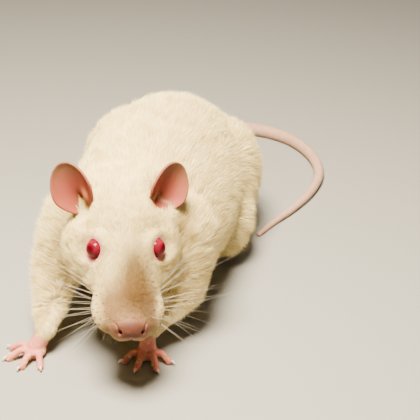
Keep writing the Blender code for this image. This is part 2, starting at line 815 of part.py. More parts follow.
def main():
    for obj in list(bpy.data.objects):
        bpy.data.objects.remove(obj)
    pieces = body_pieces()
    plain_head = copy_of(pieces["head"], "plain_head")
    pieces["head"] = dress_head(pieces["head"])
    nodes = list(pieces.values())
    for mirror, side in ((1, "left"), (-1, "right")):
        nodes.append(eyeball("eye_" + side, mirror))
        nodes.append(clear_of(ear("ear_" + side, mirror), plain_head))
        foot = flatten(union("forefoot_" + side, forefoot(side)))
        nodes.append(clear_of(foot, pieces["foreleg_" + side]))
        foot = flatten(union("hindfoot_" + side, hindfoot(side)))
        nodes.append(clear_of(foot, pieces["thigh_" + side]))
    remove(plain_head)
    lengths = tail_pieces()
    clear_of(lengths[0], pieces["hindquarters"])
    nodes += lengths
    stand_on_origin(nodes)
    rat = bpy.data.collections.new("pet_rat")
    bpy.context.scene.collection.children.link(rat)
    for obj in nodes:
        obj.data.materials.clear()
        obj.data.materials.append(finish_of(obj.name))
        obj.data.shade_smooth()
        obj.data.set_sharp_from_angle(angle=math.radians(40))
        for home in list(obj.users_collection):
            home.objects.unlink(obj)
        rat.objects.link(obj)


if __name__ == "__main__":
    main()
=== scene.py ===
"""A white pet rat at life size: one skin, a short coat of mesh hairs, eyes, claws and whiskers."""

import json
import math

import bmesh
import bpy
import numpy as np
from mathutils import Matrix, Vector
from mathutils.bvhtree import BVHTree

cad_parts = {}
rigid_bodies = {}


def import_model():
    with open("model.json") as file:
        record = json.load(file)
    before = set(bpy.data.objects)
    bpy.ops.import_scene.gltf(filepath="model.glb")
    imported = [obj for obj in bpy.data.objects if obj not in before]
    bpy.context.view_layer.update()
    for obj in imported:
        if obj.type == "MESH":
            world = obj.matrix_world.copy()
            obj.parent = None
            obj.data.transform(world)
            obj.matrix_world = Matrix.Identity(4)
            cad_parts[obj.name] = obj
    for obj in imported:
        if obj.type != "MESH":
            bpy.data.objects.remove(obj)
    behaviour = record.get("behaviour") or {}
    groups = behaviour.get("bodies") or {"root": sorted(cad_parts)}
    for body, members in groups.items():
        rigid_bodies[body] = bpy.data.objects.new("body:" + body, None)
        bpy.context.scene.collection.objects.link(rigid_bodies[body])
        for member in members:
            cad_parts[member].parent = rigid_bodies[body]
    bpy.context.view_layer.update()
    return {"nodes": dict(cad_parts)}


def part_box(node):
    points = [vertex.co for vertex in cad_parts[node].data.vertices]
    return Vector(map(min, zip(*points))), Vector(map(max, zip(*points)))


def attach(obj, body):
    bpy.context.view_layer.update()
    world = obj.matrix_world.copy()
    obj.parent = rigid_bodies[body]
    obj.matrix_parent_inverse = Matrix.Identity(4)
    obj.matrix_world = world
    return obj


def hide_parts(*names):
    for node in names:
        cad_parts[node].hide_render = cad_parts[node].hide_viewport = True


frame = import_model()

# Sizes are in millimetres, as a maker reads them, and a mesh is made in metres.
MM = 0.001
# What both sides share is given for the left one; on the right its sideways sizes are turned over.
BOTH_SIDES = (("left", 1), ("right", -1))

# The head, which is placed by the point midway between the eyes and turned about it.
EYE_LEVEL = Vector((4.0, 0.0, 44.0))
HEAD_YAW = math.radians(19.0)
HEAD_PITCH = math.radians(24.0)
HEAD_ROLL = math.radians(2.5)

# The trunk, as rings across it: distance behind the eyes, half width, top, underside.
TRUNK = (
    (8.0, 15.0, 50.0, 26.0), (16.0, 22.5, 54.0, 19.0), (28.0, 27.0, 57.0, 12.0), (44.0, 29.5, 59.0, 8.0),
    (62.0, 31.0, 60.5, 6.0), (80.0, 31.5, 61.0, 5.0), (96.0, 31.5, 59.5, 5.0), (112.0, 30.0, 55.0, 5.5),
    (127.0, 26.5, 47.0, 7.0), (140.0, 20.0, 38.0, 9.5), (149.5, 12.5, 30.0, 13.0), (155.0, 6.0, 25.0, 17.0),
)
# A ring is narrower above its middle than below it by this share, and its lower half sags out squarer.
TRUNK_TAPER, TRUNK_SAG = 0.18, 0.78

# The neck: rounded masses under loose skin, each as its middle and its half sizes.
NECK_MASSES = (
    ("nape", (0.5, 22.0, 43.0), (20.5, 20.0, 19.5)),
    ("throat", (3.0, 14.0, 31.0), (14.0, 14.0, 12.0)),
)

# The snout, as rings across it in the head's own frame: forward of the eyes, half width, top, underside.
SNOUT = (
    (-10.0, 13.5, 9.0, -13.0), (-2.0, 12.6, 7.4, -13.6), (5.0, 11.6, 5.4, -14.0), (12.0, 10.8, 3.0, -14.0),
    (18.0, 9.8, 0.7, -13.8), (23.0, 8.2, -1.5, -12.9), (26.5, 6.5, -3.0, -11.6), (28.8, 5.0, -4.2, -10.4),
    (30.0, 3.2, -5.6, -9.0),
)
SNOUT_TAPER, SNOUT_SAG = 0.16, 1.0

# The skull's other masses in the head's own frame, on its middle and as pairs.
HEAD_MASSES = (
    ("cranium", (-15.0, 0.0, -2.0), (20.0, 17.0, 12.6)),
    ("chin", (13.0, 0.0, -13.6), (9.5, 5.4, 4.2)),
    ("jaw", (-3.0, 0.0, -11.5), (14.0, 12.5, 8.5)),
    ("jowls", (3.0, 0.0, -8.5), (13.0, 14.2, 7.0)),
)
PAIRED_HEAD_MASSES = (
    ("cheek", (-7.0, 9.6, -8.0), (14.0, 10.2, 12.4)),
    ("whisker_pad", (17.5, 6.0, -8.8), (9.0, 5.8, 5.0)),
    ("upper_lip", (24.4, 3.0, -10.0), (4.8, 3.6, 2.8)),
    ("brow", (-1.0, 6.9, -0.7), (7.5, 4.0, 4.2)),
    ("eye_mound", (0.2, 8.3, 0.2), (5.2, 4.0, 4.9)),
    ("ear_mound", (-16.5, 11.0, 0.5), (6.5, 5.4, 5.6)),
)

# Eyes, in the head's own frame: forward, to its left, up. The lids stand round the opening.
EYE_PLACE = Vector((0.5, 9.7, 0.9))
EYE_RADIUS = 3.25
EYE_FACES = Vector((0.42, 0.76, 0.50))
CORNEA_BULGE = 0.22
LID_OPENING = 2.75
# How far out of the eye the lids' foot lies, how much it tilts, how high the rim stands on it and how wide.
LID_FOOT, LID_TILT, LID_RIM, RIM_WIDTH = 0.85, 0.2, 0.4, 0.5
# Where the corner of the eye points, and how far the opening is drawn out there and opposite.
INNER_CORNER = Vector((9.0, 8.6, -5.0))
CORNER_DRAWN, OUTER_CORNER_DRAWN, CORNER_WIDTH = 0.85, 0.3, 0.4

# Nostrils: a slanted bore from the side of the nose inwards, as its two ends on the left side, and the back
# end of the comma that runs on from it.
NOSTRIL = ((28.6, 3.8, -6.4), (26.0, 2.2, -6.6))
NOSTRIL_COMMA = (26.2, 5.0, -5.0)

# The cleft from the nose down to the mouth.
CLEFT = ((30.2, 0.0, -7.6), (26.6, 0.0, -13.4))

# The mouth: its line runs round under the snout, from one corner to the other.
MOUTH_BACK, MOUTH_FRONT = 9.0, 26.2
MOUTH_REACH, MOUTH_LEVEL = 7.6, -12.8
MOUTH_POINTS = 13

# How wide and deep each groove and pit is pressed into the skin.
EAR_BOWL_PIT = (4.6, 3.9)
NAPE_CREASE_GROOVE = (3.0, 1.1)
MOUTH_GROOVE = (0.55, 0.75)
CLEFT_GROOVE = (0.42, 0.7)
COMMA_GROOVE = (0.38, 0.45)
NOSTRIL_PIT = (0.62, 1.5)

# Ears: the root's middle, how far both are set to the rat's left, the blade's size, how much of it stands
# inside the head, how deep its cup is and how far its outer edge curls in, and how it points and faces.
EAR_ROOT = Vector((-13.0, 13.4, 4.5))
EAR_ASIDE = -0.9
EAR_HEIGHT, EAR_WIDTH = 20.0, 13.4
EAR_SUNK = 3.6
EAR_CUP, EAR_CURL = 5.2, 1.6
EAR_ROOT_SHARE = 0.62
EAR_WALL = 0.75
EAR_UP = Vector((-0.62, 0.42, 0.66))
EAR_FACES = Vector((0.80, 0.30, 0.45))
# The ear's opening, a slit painted dark for the shade inside it, and the paler flap in an ear: middle and
# half width across it, then the same up it.
EAR_OPENING_SHADE, EAR_FLAP = (-0.1, 1.0, 2.2, 2.4), (2.7, 1.2, 3.4, 2.8)

# Forelegs: where the middle of each palm stands and how far the foot is turned out, then its joints.
FOREFOOT = {"left": (Vector((11.5, 3.6, 0.0)), 12.0), "right": (Vector((-26.4, -4.2, 0.0)), -34.0)}
WRIST = {"left": Vector((10.8, 7.6, 8.4)), "right": Vector((-23.6, -0.6, 8.6))}
ELBOW = {"left": Vector((20.5, 22.0, 19.5)), "right": Vector((-24.6, 15.5, 22.0))}
SHOULDER = {"left": Vector((17.0, 28.0, 38.0)), "right": Vector((-17.5, 26.0, 39.0))}
UPPER_ARM_RADII = (13.0, 11.5, 8.0)
FOREARM_RADII = (8.0, 5.4, 3.9)
PALM = (3.9, 4.0, 2.5)
PALM_HEIGHT = 2.2
WRIST_RADII = (3.0, 2.7, 2.9)

# Hind legs: where each heel stands and how far the foot is turned out, then the masses of the left leg.
HEEL = {"left": (Vector((23.5, 122.5, 0.0)), 0.0), "right": (Vector((-25.0, 107.0, 0.0)), -10.0)}
HAUNCH_MIDDLE = (19.5, 102.0, 25.0)
HIND_MASSES = (
    ("haunch", HAUNCH_MIDDLE, (16.5, 30.0, 23.0)),
    ("knee", (26.0, 81.5, 17.5), (10.5, 16.0, 14.5)),
)
SHANK = ((24.5, 90.0, 18.0), (26.0, 98.0, 12.5))
SHANK_RADII = (8.0, 6.0, 4.2)
ANKLE_HEIGHT = 7.5
ANKLE_RADII = (2.8, 2.7)
SOLE = ((0.5, 3.2), (8.0, 2.9), (17.0, 2.6), (24.5, 2.3))
SOLE_RADII = (3.1, 3.3, 3.7, 4.4)
SOLE_FLATNESS = 0.72

# Digits: turn from the foot's own direction, length, how far out across the foot it starts; then how far
# ahead and how high the middle one starts, and how far back the others do.
FORE_DIGITS = ((-60.0, 5.6, -2.9), (-20.0, 6.8, -1.3), (16.0, 6.8, 1.3), (56.0, 5.4, 2.9))
HIND_DIGITS = (
    (-30.0, 7.6, -3.9), (-12.0, 10.4, -2.1), (-1.0, 11.2, 0.0), (10.0, 10.4, 2.1), (30.0, 8.0, 3.9)
)
FORE_DIGITS_START = (2.2, PALM_HEIGHT, 0.18)
HIND_DIGITS_START = (26.5, 2.1, 0.22)
DIGIT_RADIUS = 1.2
DIGIT_TAPER = (1.15, 0.98, 0.94, 1.04)
KNUCKLE_RISE = 0.9
CLAW_LENGTH = 1.9
CLAW_RADII = (0.5, 0.42, 0.1)

# The soft crease behind the crown, where the head's coat meets the back's, from the rat's right to its left.
NAPE_CREASE = (
    (-46.5, -5.5, -14.0), (-43.0, -0.3, -7.8), (-40.8, 3.2, -4.9), (-38.9, 7.5, -3.2), (-37.6, 13.5, -3.2)
)

# The tail: its own line from inside the rump to its tip, how it thickens, and how far its round
# underside would sink into the floor, which makes it lie on a narrow flat.
TAIL_LINE = (
    (0.0, 143.0, 20.0), (-1.0, 156.0, 12.5), (-4.5, 171.0, 6.5), (-4.0, 188.0, 4.2), (7.0, 202.0, 3.8),
    (24.0, 207.0, 3.5), (41.0, 200.0, 3.2), (53.0, 184.0, 2.9), (58.0, 165.0, 2.7), (56.0, 146.0, 2.4),
    (50.0, 128.0, 2.1), (43.0, 113.0, 1.7), (38.0, 101.0, 1.2),
)
TAIL_ON_FLOOR = 10
TAIL_SINK = 0.15
TAIL_RADIUS, TAIL_TIP_RADIUS = 4.4, 0.9
TAIL_ROOT_SWELL, TAIL_SWELL_REACH = 5.0, 0.045
# The scales' rings: the width of one, and how its radius steps from its front to its back edge.
SCALE_RING = 1.1
SCALE_STEPS = (1.012, 1.0, 0.972)

# The parts of the skin, in the order of the numbers that its faces keep.
PARTS = ("body", "feet", "ears", "tail")
# How the skin is made: voxels that melt the flesh into one, passes that soften it, the share of its faces
# that the body keeps.
SKIN_VOXEL, SKIN_SMOOTHING = 1.0, 6
FOOT_VOXEL, FOOT_SMOOTHING = 0.42, 3
BODY_SHARE_KEPT = 0.38

# How far forward of the eyes the head and the finer meshes of face, nose and nose tip begin, how far the
# eyes' fine mesh reaches, and how high above the floor the finer meshes end.
HEAD_BACK, FACE_BACK = -24.0, -5.0
NOSE_BACK, NOSE_TIP_BACK = 21.0, 25.8
EYE_REACH = 6.2
CHIN_LEVEL = 12.0

# Where the pieces of the coat part: how low the head and the back reach, how high an arm does and how far
# round its bones, and how far behind the eyes the neck ends and the rump starts.
HEAD_FOOT, BACK_FOOT, ARM_TOP, ARM_REACH = 14.0, 48.0, 34.0, 15.0
NECK_END, RUMP_START = 42.0, 100.0

# The coat: length of its hairs in millimetres on each part, and how far they stand off the skin.
HAIR_NOSE, HAIR_MUZZLE, HAIR_FACE, HAIR_NAPE = 0.8, 1.7, 2.9, 5.2
HAIR_AT_EYE, HAIR_AT_EAR, CHEEK_LONGER = 1.1, 1.9, 1.2
HAIR_BODY, RUMP_SHORTER, BELLY_SHORTER = 7.4, 2.6, 1.6
HAIR_ARM, HAIR_WRIST, HAIR_HEEL, SHORTER_IN_CREASE = 4.6, 1.8, 2.2, 0.2
HAIR_FOOT, HAIR_EAR, HAIR_TAIL = 1.3, 1.1, 1.5
COAT_SHARE_OF_HAIR = 0.2

# Tufts to the square metre where the coat has its full length, and how much closer they stand where the
# hair is shorter, as a power of the length.
TUFTS_ON_BODY = 2.2e6
CLOSER_WHERE_SHORT = 0.7
THIN_ON_FEET = 0.05
# One tuft: its hairs, half the width of one as a share of the tuft's breadth, and what sets that breadth.
HAIRS_IN_TUFT, HALF_HAIR_WIDTH, TUFT_BREADTH = 6, 0.0105, 0.0052
TUFT_SHAPES = 5
# No hair lies lower than this, and a tuft covers this much of the skin's unwrap in the bake.
LOWEST_HAIR = 0.1
TUFT_PATCH = 0.003
# What the coat has no more use for once it has grown.
NOT_KEPT_ON_COAT = (
    "patch", "unwrap", "lie", "up", "thick", "hair", "bare", "ear", "foot", "tail", "nose", "lid", "deep",
    "slit", "flap",
)

# The smudge on the nose: its middle forward and across, its half length and half width.
SMUDGE = (15.5, 2.4, 11.5, 5.6)

# Whiskers: rows on the pad from top to bottom, as up and how far each rises; then columns from back to
# front, as forward on the head, length, and degrees that it turns out from straight ahead.
WHISKER_ROWS = ((-4.2, 24.0), (-6.0, 8.0), (-7.8, -8.0), (-9.6, -24.0), (-11.2, -42.0))
WHISKER_COLUMNS = (
    (12.5, 38.0, 126.0), (15.5, 35.0, 112.0), (18.5, 29.0, 94.0), (21.2, 21.0, 74.0), (23.6, 13.0, 54.0)
)
# Two more over each eye and one on each cheek: forward, up, rise, length, turned out.
LONE_WHISKERS = (
    (3.5, 6.5, 62.0, 22.0, 105.0), (1.5, 7.0, 70.0, 17.0, 120.0), (-6.0, -7.0, -8.0, 20.0, 120.0)
)
# Short ones on the lips: how many, and from where to where each of the same five lies.
LIP_WHISKERS = 26
LIP_WHISKER_SPANS = ((17.0, 28.5), (-13.0, -11.2), (-58, -22), (3.5, 6.5), (20, 75))
# The pit round a whisker's root: how far out along the whisker its rings lie, and their radii.
PIT_STEPS, PIT_RADII = (-0.3, 0.3, 0.8), (0.24, 0.24, 0.14)
WHISKER_TAPER = (1.2, 1, 0.75, 0.45, 0.12)

# Where the photograph's camera stands: found by laying renders over it.
IMAGE_SIDE = 420
FOCAL_PIXELS = 1150.0
SENSOR = 36.0
VIEW_AZIMUTH = math.radians(8.0)
VIEW_ELEVATION = math.radians(27.0)
VIEW_ROLL = math.radians(3.0)
EYES_IN_IMAGE = (126.0, 248.0)
EYES_DISTANCE = 0.375

# The studio: each lamp's place and aim in metres, size, power, colour and spread; the surround's colour and
# strength; the floor's line from front to back, as how far behind and how high, and its half width.
LAMPS = (
    ("key", (-0.05, -0.2, 0.56), (-0.01, -0.1, 0.03), 0.25, 10.8, "#FFF2D8", 112.0),
    ("fill", (0.9, -0.6, 0.5), (0, 0, 0.03), 0.7, 0.8, "#FBF6EC", 180.0),
    ("back", (0.1, 0.8, 0.9), (0, 0, 0.05), 0.6, 2.5, "#FFF8EE", 180.0),
)
SURROUND = ("#E9E6E0", 0.07)
FLOOR_PROFILE = ((-1.5, 0.0), (0.9, 0.0), (1.3, 0.06), (1.6, 0.3), (1.7, 1.6))
FLOOR_HALF_WIDTH = 2.5


# Frames

# The head's own frame, from midway between the eyes: x forward along the skull, y to its left.
HEAD = (
    Matrix.Translation(EYE_LEVEL)
    @ Matrix.Rotation(HEAD_YAW - math.pi / 2, 4, "Z")
    @ Matrix.Rotation(HEAD_PITCH, 4, "Y")
    @ Matrix.Rotation(-HEAD_ROLL, 4, "X")
)


def on_side(place, mirror):
    """A place or way given for the head's left, on the side that mirror says: 1 for left, -1 for right."""
    return Vector((place[0], place[1] * mirror, place[2]))


def eye_frame(mirror):
    """The eye's own frame: z out of the eye, from the middle of the eyeball."""
    turn = on_side(EYE_FACES, mirror).normalized().to_track_quat("Z", "Y").to_matrix().to_4x4()
    return HEAD @ Matrix.Translation(on_side(EYE_PLACE, mirror)) @ turn


def ear_frame(mirror):
    """The ear's own frame, from the middle of its root: x towards the head's middle, y out of its face."""
    up, facing = on_side(EAR_UP, mirror).normalized(), on_side(EAR_FACES, mirror)
    facing = (facing - up * facing.dot(up)).normalized()
    turn = Matrix((facing.cross(up) * mirror, facing, up)).transposed().to_4x4()
    root = on_side(EAR_ROOT, mirror)
    root.y += EAR_ASIDE
    return HEAD @ Matrix.Translation(root) @ turn


EYES = {mirror: eye_frame(mirror) for _, mirror in BOTH_SIDES}
EARS = {mirror: ear_frame(mirror) for _, mirror in BOTH_SIDES}


def on_head(places):
    """Places in the head's own frame, taken to the row's frame."""
    return [HEAD @ Vector(place) for place in places]


def in_frame(matrix, points):
    """Points in millimetres, read in the frame that this matrix places."""
    return (points - np.array(matrix.translation)) @ np.array(matrix.to_3x3())


def in_metres(matrix):
    """The same turn and shift for a mesh that is already in metres."""
    made = matrix.copy()
    made.translation = made.translation * MM
    return made


def raised(place, by):
    return Vector((place[0], place[1], place[2] + by))


# Meshes


def mesh_object(name, mesh, collection=None):
    made = bpy.data.objects.new(name, mesh)
    (collection or bpy.context.scene.collection).objects.link(made)
    return made


def from_bmesh(name, shape, scale=MM, collection=None):
    """The finished object of a bmesh, which is in millimetres unless its scale says otherwise."""
    bmesh.ops.scale(shape, vec=(scale, scale, scale), verts=shape.verts)
    mesh = bpy.data.meshes.new(name)
    shape.to_mesh(mesh)
    shape.free()
    return mesh_object(name, mesh, collection)


def remove(obj):
    mesh = obj.data
    bpy.data.objects.remove(obj)
    if mesh.users == 0:
        bpy.data.meshes.remove(mesh)


def applied(obj):
    """The object with its modifiers made part of its mesh."""
    graph = bpy.context.evaluated_depsgraph_get()
    mesh = bpy.data.meshes.new_from_object(obj.evaluated_get(graph))
    old = obj.data
    obj.modifiers.clear()
    obj.data = mesh
    bpy.data.meshes.remove(old)
    return obj


def read(items, name, width=1, kind=float):
    """One property of a mesh's points, edges, corners or faces, as an array with a row for each."""
    flat = np.empty(len(items) * width, dtype=kind)
    items.foreach_get(name, flat)
    return flat.reshape(-1, width) if width > 1 else flat


def corners(obj):
    """The mesh's points as an array, in its own units."""
    return read(obj.data.vertices, "co", 3)


def set_corners(obj, points):
    obj.data.vertices.foreach_set("co", points.ravel())
    obj.data.update()


def normals(obj):
    return read(obj.data.vertex_normals, "vector", 3)


def store(obj, name, values):
    kind = "FLOAT_VECTOR" if values.ndim > 1 else "FLOAT"
    layer = obj.data.attributes.new(name, kind, "POINT")
    layer.data.foreach_set("vector" if values.ndim > 1 else "value", values.astype(float).ravel())


def step_up(low, high, value):
    """From 0 at low to 1 at high, eased at both ends."""
    t = np.clip((value - low) / (high - low), 0.0, 1.0)
    return t * t * (3 - 2 * t)


def bell(value, middle, width):
    """1 at the middle, fading on both sides to about a third at this width and to nothing beyond."""
    return np.exp(-(((value - middle) / width) ** 2))


def towards(value, goal, share):
    return value + (goal - value) * share


def size_of(rows):
    """The length of each row."""
    return np.linalg.norm(rows, axis=1)


def unit(rows):
    """Each row with its length made 1."""
    return rows / size_of(rows).clip(1e-6)[:, None]


def distance_to_line(points, line):
    """Each point's distance to a line of points, and the way along the line where it is nearest."""
    best = np.full(len(points), 1e9)
    way = np.zeros((len(points), 3))
    for a, b in zip(line, line[1:]):
        a, b = np.array(a), np.array(b)
        t = np.clip(((points - a) @ (b - a)) / ((b - a) @ (b - a)), 0.0, 1.0)
        off = size_of(points - a - t[:, None] * (b - a))
        nearer = off < best
        best[nearer] = off[nearer]
        way[nearer] = (b - a) / np.linalg.norm(b - a)
    return best, way


def distance_to_arm(points, side):
    return distance_to_line(points, (SHOULDER[side], ELBOW[side], WRIST[side]))


def edges_of(obj):
    """The two ends of each edge, and how many edges meet at each point."""
    ends = read(obj.data.edges, "vertices", 2, np.int64)
    return ends[:, 0], ends[:, 1], np.bincount(ends.ravel(), minlength=len(obj.data.vertices)).clip(1)


def soften(obj, chosen, passes):
    """Evens out the chosen points of a mesh, each half way towards the mean of its neighbours."""
    a, b, count = edges_of(obj)
    points = corners(obj)
    weight = (np.asarray(chosen, float) * 0.5)[:, None]
    for _ in range(passes):
        total = np.empty_like(points)
        for axis, column in enumerate(points.T):
            total[:, axis] = np.bincount(a, column[b], len(points)) + np.bincount(b, column[a], len(points))
        points += weight * (total / count[:, None] - points)
    set_corners(obj, points)


def spread(obj, values, passes):
    """Values at points, evened out over the surface by this many passes."""
    a, b, count = edges_of(obj)
    for _ in range(passes):
        total = np.bincount(a, values[b], len(values)) + np.bincount(b, values[a], len(values))
        values = 0.4 * values + 0.6 * total / count
    return values


def reshape(obj, change):
    """Lets a function change the object's mesh as a bmesh."""
    shape = bmesh.new()
    shape.from_mesh(obj.data)
    shape.faces.ensure_lookup_table()
    change(shape)
    shape.to_mesh(obj.data)
    shape.free()


def refine(obj, wanted):
    """Splits each face whose middle is wanted into four."""

    def split(shape):
        middles = np.array([face.calc_center_median()[:] for face in shape.faces]) / MM
        edges = {edge for i in np.nonzero(wanted(middles))[0] for edge in shape.faces[i].edges}
        bmesh.ops.subdivide_edges(shape, edges=list(edges), cuts=1, use_grid_fill=True, smooth=0.0)
        bmesh.ops.triangulate(shape, faces=[face for face in shape.faces if len(face.verts) > 4])

    reshape(obj, split)


def melt(name, pieces, voxel, smoothing):
    """One skin over overlapping pieces, with the creases between them softened."""
    shape = bmesh.new()
    for piece in pieces:
        shape.from_mesh(piece.data)
        remove(piece)
    made = from_bmesh(name, shape, 1.0)
    remesh = made.modifiers.new("remesh", "REMESH")
    remesh.mode, remesh.voxel_size = "VOXEL", voxel * MM
    smooth = made.modifiers.new("soften", "SMOOTH")
    smooth.factor, smooth.iterations = 0.5, smoothing
    return applied(made)


# Shapes


def wall(shape, rows):
    """Faces from each ring of points to the next."""
    for low, high in zip(rows, rows[1:]):
        for i in range(len(low)):
            j = (i + 1) % len(low)
            shape.faces.new((low[i], low[j], high[j], high[i]))


def loft(name, rings):
    """A closed skin over rings that all have as many points, with a fan of faces over each end."""
    shape = bmesh.new()
    rows = [[shape.verts.new(p) for p in ring] for ring in rings]
    count = len(rows[0])
    wall(shape, rows)
    for row in (rows[0], rows[-1]):
        centre = shape.verts.new(sum((v.co for v in row), Vector()) / count)
        for i in range(count):
            shape.faces.new((row[i], row[(i + 1) % count], centre))
    bmesh.ops.recalc_face_normals(shape, faces=shape.faces)
    return from_bmesh(name, shape)


def ball(name, centre, radii, turn=None, segments=28):
    """An ellipsoid, turned by a matrix about its centre where one is given."""
    shape = bmesh.new()
    bmesh.ops.create_uvsphere(shape, u_segments=segments, v_segments=segments // 2, radius=1.0)
    place = Matrix.Translation(centre) @ (turn or Matrix()).to_4x4() @ Matrix.Diagonal((*radii, 1.0))
    bmesh.ops.transform(shape, matrix=place, verts=shape.verts)
    return from_bmesh(name, shape)


def smooth_line(points, steps):
    """A smooth curve through the points, as a Catmull-Rom spline read at this many steps a span."""
    p = np.array([tuple(v) for v in points], float)
    padded = np.vstack([2 * p[0] - p[1], p, 2 * p[-1] - p[-2]])
    line = []
    for i in range(1, len(padded) - 2):
        a, b, c, d = padded[i - 1 : i + 3]
        for t in np.linspace(0.0, 1.0, steps, endpoint=False):
            slope, bend, twist = c - a, 2 * a - 5 * b + 4 * c - d, 3 * b - a - 3 * c + d
            line.append(0.5 * (2 * b + slope * t + bend * t**2 + twist * t**3))
    line.append(p[-1])
    return [Vector(v.tolist()) for v in line]


def along(values, count):
    """Values spread evenly over this many points, read between them in straight lines."""
    return np.interp(np.linspace(0, 1, count), np.linspace(0, 1, len(values)), values).tolist()


def rings_along(line, thick, sides, flat=1.0):
    """A ring of points round each point of the line, none twisted against the one before."""
    rings = []
    start = (line[1] - line[0]).cross(Vector((0, 0, 1)))
    side = start if start.length > 0.1 * (line[1] - line[0]).length else Vector((1, 0, 0))
    turns = [2 * math.pi * k / sides for k in range(sides)]
    for i, place in enumerate(line):
        tangent = (line[min(i + 1, len(line) - 1)] - line[max(i - 1, 0)]).normalized()
        side = (side - tangent * side.dot(tangent)).normalized()
        up = tangent.cross(side)
        rings.append([place + thick[i] * (side * math.cos(a) + up * math.sin(a) * flat) for a in turns])
    return rings


def tube(name, points, radii, sides=8, flat=1.0, round_off=(0.7, 1.25)):
    """A tapered rod along a line, with its ends rounded off in steps and its height scaled by flat."""
    line = [Vector(p) for p in points]
    thick = along(radii, len(line))
    for end, neighbour in ((0, 1), (-1, -2)):
        outward = (line[end] - line[neighbour]).normalized()
        tip, radius = line[end].copy(), thick[end]
        for a in round_off:
            at = 0 if end == 0 else len(line)
            line.insert(at, tip + outward * radius * math.sin(a))
            thick.insert(at, radius * math.cos(a))
    return loft(name, rings_along(line, thick, sides, flat))


def form(name, sections, sides, taper, sag, order):
    """A closed form over cross-sections, each its place lengthwise, half width, top and underside.

    The order says which of across, lengthwise and up is x, y and z.
    """
    rings = []
    for lengthwise, width, top, under in sections:
        ring = []
        for k in range(sides):
            a = 2 * math.pi * k / sides
            out, rise = math.sin(a), math.cos(a)
            if rise < 0:
                out = math.copysign(abs(out) ** sag, out)
            height = (top + under) / 2 + (top - under) / 2 * rise
            place = (width * out * (1 - taper * rise), lengthwise, height)
            ring.append(Vector([place[axis] for axis in order]))
        rings.append(ring)
    return loft(name, rings)


def trunk():
    """The trunk from the base of the neck to the root of the tail."""
    uppers = smooth_line([(y, w, top) for y, w, top, under in TRUNK], 3)
    unders = smooth_line([(y, w, under) for y, w, top, under in TRUNK], 3)
    sections = [(*upper, under.z) for upper, under in zip(uppers, unders)]
    return form("trunk", sections, 32, TRUNK_TAPER, TRUNK_SAG, (0, 1, 2))


def head_flesh():
    """The skull and the muscle, pads and jaw on it, placed by the head's frame."""
    pieces = [form("snout", SNOUT, 24, SNOUT_TAPER, SNOUT_SAG, (1, 0, 2))]
    pieces += [ball(*mass) for mass in HEAD_MASSES]
    for name, centre, radii in PAIRED_HEAD_MASSES:
        pieces += [ball(name, on_side(centre, mirror), radii) for _, mirror in BOTH_SIDES]
    for piece in pieces:
        piece.data.transform(in_metres(HEAD))
    return pieces


def foreleg(side):
    """The shoulder, upper arm and forearm of one foreleg, down to the wrist."""
    shoulder, elbow, wrist = SHOULDER[side], ELBOW[side], WRIST[side]
    upper = smooth_line((shoulder, shoulder.lerp(elbow, 0.5), elbow), 3)
    lower = smooth_line((elbow, elbow.lerp(wrist, 0.5), wrist), 3)
    return [tube("upper_arm", upper, UPPER_ARM_RADII, 16), tube("forearm", lower, FOREARM_RADII, 14)]


def hind_leg(side, mirror):
    """The haunch, knee and shank of one hind leg, down to the heel."""

    def mirrored(place):
        return Vector((place[0] * mirror, place[1], place[2]))

    pieces = [ball(name, mirrored(centre), radii) for name, centre, radii in HIND_MASSES]
    line = [mirrored(place) for place in SHANK]
    line.append(HEEL[side][0] + mirrored((-1.5, -3.0, ANKLE_HEIGHT)))
    return pieces + [tube("shank", smooth_line(line, 3), SHANK_RADII, 14)]


# The coat's length and lie


def hair_length(points):
    """The length of the coat in millimetres at each point."""
    at = in_frame(HEAD, points)
    forward, height = at[:, 0], points[:, 2]
    of_head = step_up(-34.0, -14.0, forward) * step_up(12.0, 20.0, height)
    face = HAIR_FACE + (HAIR_NAPE - HAIR_FACE) * step_up(2.0, -22.0, forward)
    face += CHEEK_LONGER * step_up(9.0, 17.0, np.abs(at[:, 1])) * step_up(6.0, -6.0, forward)
    face = towards(face, HAIR_MUZZLE, step_up(8.0, 21.0, forward))
    face = towards(face, HAIR_NOSE, step_up(24.5, 28.5, forward))
    for _, mirror in BOTH_SIDES:
        face = towards(face, HAIR_AT_EYE, step_up(8.5, 3.6, size_of(in_frame(EYES[mirror], points))))
        bowl = in_frame(EARS[mirror], points) - np.array((0.0, 1.0, 2.0))
        face = face + (HAIR_AT_EAR - face) * step_up(10.0, 6.0, size_of(bowl)) * (bowl[:, 1] > -5.0)
    body = HAIR_BODY - RUMP_SHORTER * step_up(135.0, 152.0, points[:, 1])
    body -= BELLY_SHORTER * step_up(14.0, 5.0, height)
    length = towards(body, face, of_head)
    crease, _ = distance_to_line(points, on_head(NAPE_CREASE))
    length *= 1 - SHORTER_IN_CREASE * step_up(5.0, 1.5, crease)
    for side, _ in BOTH_SIDES:
        near, _ = distance_to_arm(points, side)
        arm = HAIR_WRIST + (HAIR_ARM - HAIR_WRIST) * step_up(9.0, 24.0, height)
        arm = towards(arm, body, step_up(26.0, 40.0, height))
        length += (arm - length) * step_up(17.0, 11.0, near) * (1 - of_head) * step_up(40.0, 30.0, height)
        off_heel = size_of(points - np.array(HEEL[side][0]) - np.array((0, -3.0, 6.0)))
        length += (HAIR_HEEL - length) * step_up(13.0, 5.0, off_heel)
    return length


